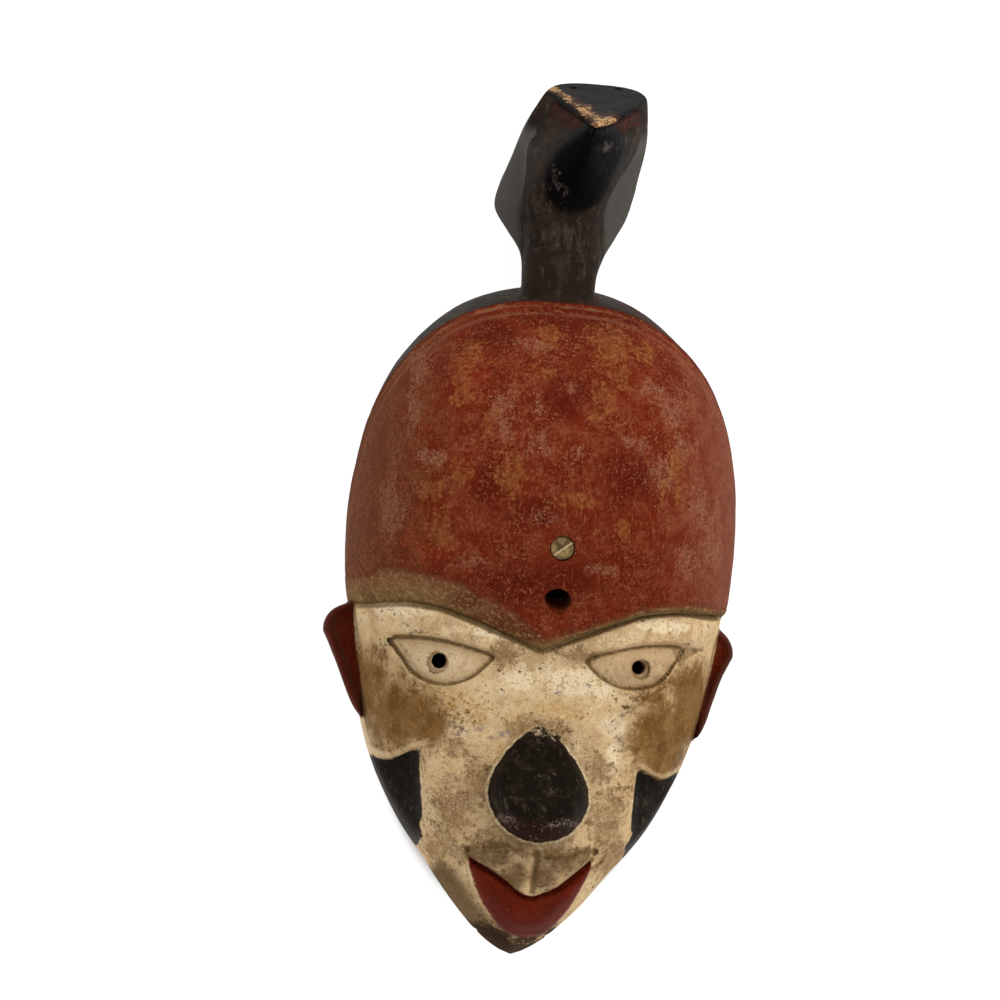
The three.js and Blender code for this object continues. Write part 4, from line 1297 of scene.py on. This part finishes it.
# The two lines scored along the hair are painted pale along their edges, partly as pale dust and partly as a
# painted highlight.
scored = [add("ShaderNodeMath", {0: measured["hairline"], 1: -at}, operation="ADD") for at in (6.5, 12.5)]
red_earth = coats("#631F0A", [
    (share(texture["patch"], 0.46, 0.6, most=0.75), "#73321D"),
    (share(texture["cloud"], 0.46, 0.58, most=0.8), "#5A1806"),
    (share(texture["fray"], 0.51, 0.64, most=0.6), "#7B3F27"),
    (share(texture["mottle"], 0.46, 0.34, most=0.6), "#561605"),
    # Painted sheen greys the sides to a brown, lighter as painted light on the side facing right.
    (share(measured["side"], 0.3, 1.0, texture["patch"], 1.2, most=0.8), "#5F371F"),
    (share(other_side, 0.35, 1.0, texture["patch"], 1.2, most=0.65), "#774430"),
    # darker red, partly painted shade at the top and over the brow
    ((mark["deep"], share(texture["mottle"], 0.3, 0.5, most=0.85)), "#4D1003"),
    ((mark["bright"], share(texture["mottle"], 0.4, 0.58, most=0.35)), "#8E3413"),
    ((mark["scuff"], share(texture["drag"], 0.38, 0.6, most=0.6)), "#7E4F38"),
    ((mark["scuff"], share(texture["grit"], 0.5, 0.68, most=0.35)), "#A2826A"),
    ((mark["ochre"], share(texture["drag"], 0.36, 0.56, most=0.7)), "#784420"),
    ((mark["ochre"], share(texture["speck"], 0.5, 0.68, most=0.45)), "#986635"),
    ((share(texture["speck"], 0.52, 0.66, most=0.7), share(texture["patch"], 0.4, 0.6)), "#874A2C"),
    ((share(texture["grit"], 0.56, 0.7, most=0.5), share(texture["cloud"], 0.4, 0.6)), "#A8744E"),
    ((share(texture["scratch"], 0.58, 0.68, most=0.5), share(texture["patch"], 0.6, 0.42)), "#93593A"),
    (share(texture["speck"], 0.42, 0.31, most=0.7), "#3E0F03"),
    (share(texture["scratch"], 0.4, 0.3, most=0.45), "#4A1407"),
    # pale dust and a painted highlight along the scored lines
    (line(scored[0], 1.5, texture["patch"], 7.0, most=0.4), "#8E6648"),
    (line(scored[1], 1.7, texture["patch"], 8.0, most=0.3), "#85583E"),
    (share(measured["hairline"], 4.6, 3.2, texture["fray"], 3.0, most=0.6), "#42180B"),
    (dirt, "#35130A"),
])
print(f"with the red earth, it has {len(tree.nodes)} nodes")

# %% [markdown]
# ### The rolled edge over the brow
#
# The roll under the forehead has been handled until its red wore to an olive tan. The red comes
# back upwards over the curve, and towards the middle of the V. Towards its foot, where it turns
# down, it is painted darker as painted shade.

# %% The rolled edge
band = coats("#735534", [
    (share(texture["mottle"], 0.47, 0.62, most=0.8), "#8F7049"),
    (share(texture["cloud"], 0.47, 0.6, most=0.8), "#5D4527"),
    (share(measured["rolled"], 0.3, 0.9, texture["fray"], 1.6, most=0.75), "#70402A"),
    ((mark["reddened"], share(texture["drag"], 0.3, 0.5, most=0.85)), "#5C2A17"),
    (share(texture["speck"], 0.52, 0.66, most=0.65), "#A08257"),
    (share(texture["grit"], 0.44, 0.32, most=0.6), "#4A2F18"),
    (share(measured["rolled"], 0.8, 1.0, texture["mottle"], 0.6, most=0.7), "#552818"),
    # painted shade towards the foot of the roll, where it turns down
    (share(measured["brow"], 2.0, 0.4, texture["mottle"], 2.0, most=0.6), "#4E3C1E"),
    (dirt, "#3A2812"),
])
print(f"with the rolled edge, it has {len(tree.nodes)} nodes")

# %% [markdown]
# ### Soot black, lips and ears
#
# Soot in oil is a warm black with a sheen, greyed by dust, and scratched through to the brown under
# it where the nose and snout were knocked. The lips keep the thickest and smoothest red, darkened
# along their parting as painted shade. The hair and the crest have the same soot, thinner and
# dustier. On the crest the sides of the neck carry a grey painted sheen, and the throat's hollow is
# painted almost pure black as painted shade, with grey painted highlights smeared on it.

# %% Black, lips and ears
scratches = (share(texture["scratch"], 0.56, 0.66, most=0.8), share(texture["patch"], 0.42, 0.6))
facing_down = share(measured["down"], 0.3, 0.7, texture["mottle"], 0.5)
under_nose = (inside["nose"], share(measured["sliced"], -0.5, -3.0), facing_down)
black = coats("#130C06", [
    (share(texture["patch"], 0.48, 0.64, most=0.8), "#221A12"),
    (share(texture["mottle"], 0.52, 0.66, most=0.7), "#31281E"),
    ((share(texture["fray"], 0.54, 0.62, most=0.6), share(texture["drag"], 0.46, 0.56)), "#4A4034"),
    (under_nose, "#1E0802"),
    ((*under_nose, *scratches), "#66544A"),
    ((mark["knocked"], share(texture["grit"], 0.48, 0.6, most=0.75)), "#857668"),
    ((share(texture["speck"], 0.6, 0.7, most=0.6), share(texture["patch"], 0.46, 0.58)), "#5A4E43"),
])
# Painted shade: a darker red along the slit where the lips meet.
shaded_parting = line(measured["slit"], 1.6, texture["speck"], 1.0, most=0.7)
lips = coats("#561505", [
    (share(texture["patch"], 0.46, 0.64, most=0.7), "#631F0B"),
    (share(texture["cloud"], 0.5, 0.62, most=0.7), "#4B1205"),
    (share(texture["speck"], 0.64, 0.72, most=0.6), "#8C4C37"),
    (share(texture["grit"], 0.6, 0.7, most=0.3), "#7C3C28"),
    (shaded_parting, "#3A0A03"),
])
ear_red = coats("#4C1404", [
    (share(texture["patch"], 0.48, 0.64, most=0.7), "#5A2311"),
    (share(texture["speck"], 0.58, 0.7, most=0.5), "#6E3A26"),
    # painted light: the right ear's outer side, towards the light, is a lighter brown
    (share(other_side, 0.2, 0.8, most=0.7), "#4A2D21"),
    (share(measured["edge"], 0.15, 0.5, texture["mottle"], 0.4, most=0.4), "#28150C"),
    (dirt, "#1F0C07"),
])
print(f"with the black, the lips and the ears, it has {len(tree.nodes)} nodes")

# %% Hair and crest
hair = coats("#28231C", [
    (share(texture["patch"], 0.48, 0.66, most=0.8), "#3E382F"),
    (share(texture["mottle"], 0.55, 0.68, most=0.6), "#575043"),
    (share(other_side, 0.1, 0.5, texture["mottle"], 0.5, most=0.85), "#351509"),
    (share(measured["hairline"], -3.0, 0.5, texture["fray"], 4.0, most=0.5), "#2A130B"),
])
crest_black = coats("#241B14", [
    (share(texture["patch"], 0.46, 0.64, most=0.8), "#362B22"),
    (share(texture["cloud"], 0.5, 0.62, most=0.7), "#1B120C"),
    ((share(texture["mottle"], 0.5, 0.68, most=0.6), share(texture["drag"], 0.4, 0.62)), "#564A3F"),
    # painted sheen: the sides of the neck are greyed as if they reflected a bright screen
    (share(measured["slab"], -0.8, 2.5, texture["patch"], 2.0, most=0.85), "#514E49"),
    # grey painted highlights smeared on the neck
    ((mark["smeared_highlights"], share(texture["drag"], 0.42, 0.6, most=0.4)), "#50453B"),
    ((inside["mouth"], share(texture["fray"], 0.3, 0.46, most=0.9)), "#2C110A"),
    ((inside["mouth"], share(texture["mottle"], 0.46, 0.62, most=0.6)), "#4E2113"),
    # painted shade: the throat's hollow under the snout is painted almost pure black
    (inside["throat"], "#030101"),
    # grey painted highlights smeared on the glossy throat
    ((inside["throat"], mark["smeared_highlights"], share(texture["drag"], 0.5, 0.6, most=0.6)), "#58504A"),
    (inside["skull"], "#0D0B08"),
    ((inside["skull"], share(texture["mottle"], 0.54, 0.68, most=0.7)), "#2A2822"),
    ((inside["rubbed"], share(texture["fray"], 0.34, 0.5, most=0.8)), "#3D2413"),
    ((inside["rubbed"], mark["bared"], share(texture["mottle"], 0.36, 0.5)), "#7D5733"),
    ((inside["rubbed"], mark["bared"], share(texture["speck"], 0.46, 0.6, most=0.9)), "#C49F70"),
    (dirt, "#0F0805"),
])
print(f"with the hair and the crest, it has {len(tree.nodes)} nodes")

# %% [markdown]
# ### Bare wood, and all the coats together
#
# The hollow and the rim were never painted, so they show the wood's grain, which runs from the
# chin to the crown. The coats then go on in the order a painter lays them: clay all over, with pale
# specks and a painted highlight around the nose and a painted highlight along the cheekbones'
# edges, then soot, red earth and the rest.

# %% Bare wood and all the coats together
bare = coats("#6E4D2C", [
    (share(texture["grain"], 0.45, 0.62), "#83603A"),
    (share(texture["grain"], 0.45, 0.3), "#523619"),
    (share(texture["patch"], 0.5, 0.66), "#5D4028"),
    (share(texture["mottle"], 0.6, 0.72), "#94724A"),
    (dirt, "#33200F"),
])
# Pale specks with a painted highlight round the nose, and a painted highlight along each cheekbone.
pale_specks_and_highlight_round_nose = share(measured["nose"], -1.6, -0.6, texture["mottle"], 3.0, most=0.7)
bone_edge = add("ShaderNodeMath", {0: measured["cheekbone"], 1: 1.4}, operation="ADD")
bone_edge_highlight = line(bone_edge, 1.9, texture["mottle"], 5.0, most=0.55)
under_bone = share(measured["cheekbone"], 0.0, 1.2, texture["mottle"], 2.4)
whole = coats(clay, [
    ((pale_specks_and_highlight_round_nose, share(texture["speck"], 0.4, 0.56)), "#DCC7A2"),
    ((bone_edge_highlight, share(measured["cheek"], -6.0, 1.0)), "#CFB48A"),
    ((inside["cheek"], under_bone), black),
    ((mark["flake"], share(texture["mottle"], 0.42, 0.48)), black),
    (inside["nose"], black),
    (inside["lips"], lips),
    (inside["brow"], band),
    (inside["red"], red_earth),
    (inside["ear"], ear_red),
    (inside["hair"], hair),
    (inside["crest"], crest_black),
    (inside["raw"], bare),
])
print(f"with all the coats, it has {len(tree.nodes)} nodes")

# %% [markdown]
# ### Sheen and relief
#
# Dry clay has a roughness of 0.8 to 0.9 and oiled soot of 0.4 to 0.5, so each zone has its own.
# Glue and oil bend light by about 1.48. Their shine is faint under a soft light, so the specular
# level is low, or a bright table would turn the blacks grey at their edges. The bump gives what is
# too fine for the mesh: grit in the clay, brush strokes and the thickness of flakes.

# %% Roughness, bump and the finished shader
SHEENS = [
    ("red", 0.66), ("nose", 0.5), ("cheek", 0.42), ("lips", 0.46), ("ear", 0.55), ("hair", 0.5),
    ("crest", 0.5), ("throat", 0.34), ("raw", 0.78),
]
sheen = 0.8
for name, value in SHEENS:
    sheen = add("ShaderNodeMix", {0: inside[name], 2: sheen, 3: value}, data_type="FLOAT")
sheen = add("ShaderNodeMath", {0: texture["mottle"], 1: 0.2, 2: sheen}, operation="MULTIPLY_ADD")
RELIEF = [("grit", 0.5), ("speck", 1.0), ("drag", 0.6), ("mottle", 1.6), ("fray", 1.4)]
FLAKED, FLAKE_DEEP, RELIEF_TALL = ("ochre", "scuff", "knocked", "pale"), -0.3, 0.6
height = 0.0
for name, tall in RELIEF:
    height = add("ShaderNodeMath", {0: texture[name], 1: tall, 2: height}, operation="MULTIPLY_ADD")
for name in FLAKED:
    height = add("ShaderNodeMath", {0: mark[name], 1: FLAKE_DEEP, 2: height}, operation="MULTIPLY_ADD")
relief = add("ShaderNodeBump", {"Height": height, "Strength": 0.6, "Distance": RELIEF_TALL * MM})
surface = {"Base Color": whole, "Roughness": sheen, "Normal": relief}
surface.update({"IOR": 1.48, "Specular IOR Level": 0.04})
shader = add("ShaderNodeBsdfPrincipled", surface)
tree.links.new(shader, tree.nodes["Material Output"].inputs["Surface"])
mesh.materials.append(painted)
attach(mask, "root")
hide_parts("carved_mask")
print(f"the painted wood has {len(tree.nodes)} nodes")

# %% [markdown]
# ## Raw wood of the peg
#
# The dowel's broken end is bare, dry wood, dusty and olive with age. A paler line along the ridge
# where it split is a painted highlight. End grain scatters light evenly, so it is the roughest
# surface of all.

# %% Raw broken wood
raw = bpy.data.materials.new("raw_broken_wood")
raw.use_nodes = True
tree = raw.node_tree
spot = add("ShaderNodeTexCoord", {}, output=3)
pores = add("ShaderNodeTexNoise", {"Vector": spot, "Scale": 1 / (0.7 * MM), "Detail": 4.0, "Roughness": 0.7})
stain = add("ShaderNodeTexNoise", {"Vector": spot, "Scale": 1 / (3.5 * MM), "Detail": 3.0})
split_highlight = add("ShaderNodeAttribute", {}, output=2, attribute_name="split_highlight")
end_grain = coats("#705630", [
    (share(stain, 0.45, 0.62), "#8B7348"),
    (share(stain, 0.5, 0.35), "#4A3718"),
    (share(pores, 0.55, 0.7), "#9C865A"),
    (share(split_highlight, 0.45, 0.8, pores, 0.6), "#B29C72"),
    (share(pores, 0.42, 0.3), "#3A2A14"),
])
rough_end = add("ShaderNodeBump", {"Height": pores, "Strength": 0.6, "Distance": 0.3 * MM})
principled = tree.nodes["Principled BSDF"]
principled.inputs["Roughness"].default_value = 0.86
tree.links.new(end_grain, principled.inputs["Base Color"])
tree.links.new(rough_end, principled.inputs["Normal"])
peg_mesh.materials.append(raw)
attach(peg, "root")
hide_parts("forehead_peg")
print(f"the raw wood has {len(tree.nodes)} nodes")

# %% [markdown]
# ## The camera
#
# The photograph was taken from straight in front and a long way off, with the mask turned a little
# to the right and tipped. The mask lies on its rim here, so the camera looks down on it.

# %% Camera
CAMERA_DISTANCE, METRES_ACROSS = 2.5, 0.4313
YAW, PITCH, ROLL = math.radians(3.5), math.radians(-1.2), math.radians(4)
AIM = (-19.5, 195.8, 30.0)

camera = bpy.data.objects.new("camera", bpy.data.cameras.new("camera"))
bpy.context.scene.collection.objects.link(camera)
back = Vector((-math.sin(YAW) * math.cos(PITCH), math.sin(PITCH), math.cos(YAW) * math.cos(PITCH)))
right = Vector((0, 1, 0)).cross(back).normalized()
up = back.cross(right)
turned_right = right * math.cos(ROLL) + up * math.sin(ROLL)
turned_up = up * math.cos(ROLL) - right * math.sin(ROLL)
placing = Matrix((turned_right, turned_up, back)).transposed().to_4x4()
placing.translation = Vector(to_metres(np.array(AIM))) + back * CAMERA_DISTANCE
camera.matrix_world = placing
camera.data.lens = camera.data.sensor_width * CAMERA_DISTANCE / METRES_ACROSS
bpy.context.scene.camera = camera
print(f"the camera is {CAMERA_DISTANCE} m away and sees {METRES_ACROSS / MM:.0f} mm across")

# %% [markdown]
# ## The floor
#
# The photograph has a pure white ground without a shadow. A studio gets that with a sheet of opal
# acrylic, a milky frosted plastic, that is lit from below. A black card lies on it under the mask,
# so that no light comes up through the pupils.

# %% Floor
TABLE_LIGHT = 0.9
CARD_HALF_WIDE, CARD_HALF_TALL, CARD_Y = 76.0, 136.0, 146.0
FROST = 1.1
floor_mesh = bpy.data.meshes.new("floor")
floor_mesh.from_pydata([(-3, -3, 0), (3, -3, 0), (3, 3, 0), (-3, 3, 0)], [], [(0, 1, 2, 3)])
floor = bpy.data.objects.new("floor", floor_mesh)
bpy.context.scene.collection.objects.link(floor)
opal = bpy.data.materials.new("frosted_opal_acrylic")
opal.use_nodes = True
tree = opal.node_tree
# The frosting is far finer than a millimetre, and drawn coarser to show at all.
frosting = add("ShaderNodeTexNoise", {"Scale": 1 / (FROST * MM), "Detail": 3.0})
sheet = tree.nodes["Principled BSDF"]
sheet.inputs["Roughness"].default_value = 0.9
middle = to_metres(np.array([0, CARD_Y, 0]))
half = np.array([CARD_HALF_WIDE, CARD_HALF_TALL, 1]) * MM
place = {"Location": tuple(-middle / half), "Scale": tuple(1 / half)}
place = add("ShaderNodeMapping", {"Vector": add("ShaderNodeTexCoord", {}, output=3), **place})
away = add("ShaderNodeVectorMath", {0: place}, output=1, operation="LENGTH")
glow = share(away, 0.9, 1.0)
card = coats("#060606", [(glow, coats("#8E8E8D", [(share(frosting, 0.4, 0.7), "#939393")]))])
tree.links.new(card, sheet.inputs["Base Color"])
tree.links.new(glow, sheet.inputs["Emission Color"])
sheet.inputs["Emission Strength"].default_value = TABLE_LIGHT
floor_mesh.materials.append(opal)
print(f"the black card is {2 * CARD_HALF_WIDE:.0f} by {2 * CARD_HALF_TALL:.0f} mm")

# %% [markdown]
# ## The light
#
# The light is soft and a little stronger from the upper right. White screens stand round the table
# here, under a darker ceiling, because black paint only looks black when nothing bright is in front
# of it. One large softbox gives the carving its shape.

# %% Light
SCREEN_LIGHT, CEILING_LIGHT = 1.2, 0.5
LAMP_WATTS, LAMP_SIZE, LAMP_PLACE = 20, 1.1, (0.7, 0.8, 1.45)
world = bpy.data.worlds.new("studio")
bpy.context.scene.world = world
world.use_nodes = True
tree = world.node_tree
towards = add("ShaderNodeSeparateXYZ", {0: add("ShaderNodeTexCoord", {}, output=0)}, output=2)
limits = {"Value": towards, "From Min": 0.1, "From Max": 0.9}
limits.update({"To Min": SCREEN_LIGHT, "To Max": CEILING_LIGHT})
light = add("ShaderNodeMapRange", limits, interpolation_type="SMOOTHSTEP")
tree.links.new(light, tree.nodes["Background"].inputs["Strength"])
tree.nodes["Background"].inputs["Color"].default_value = (1, 1, 1, 1)
lamp = bpy.data.lights.new("softbox", "AREA")
lamp.energy, lamp.size = LAMP_WATTS, LAMP_SIZE
softbox = bpy.data.objects.new("softbox", lamp)
bpy.context.scene.collection.objects.link(softbox)
softbox.location = LAMP_PLACE
softbox.rotation_euler = (-softbox.location).to_track_quat("-Z", "Y").to_euler()
bpy.context.scene.view_settings.view_transform = "Standard"
print(f"the softbox is {LAMP_SIZE} m wide and gives {LAMP_WATTS} W")
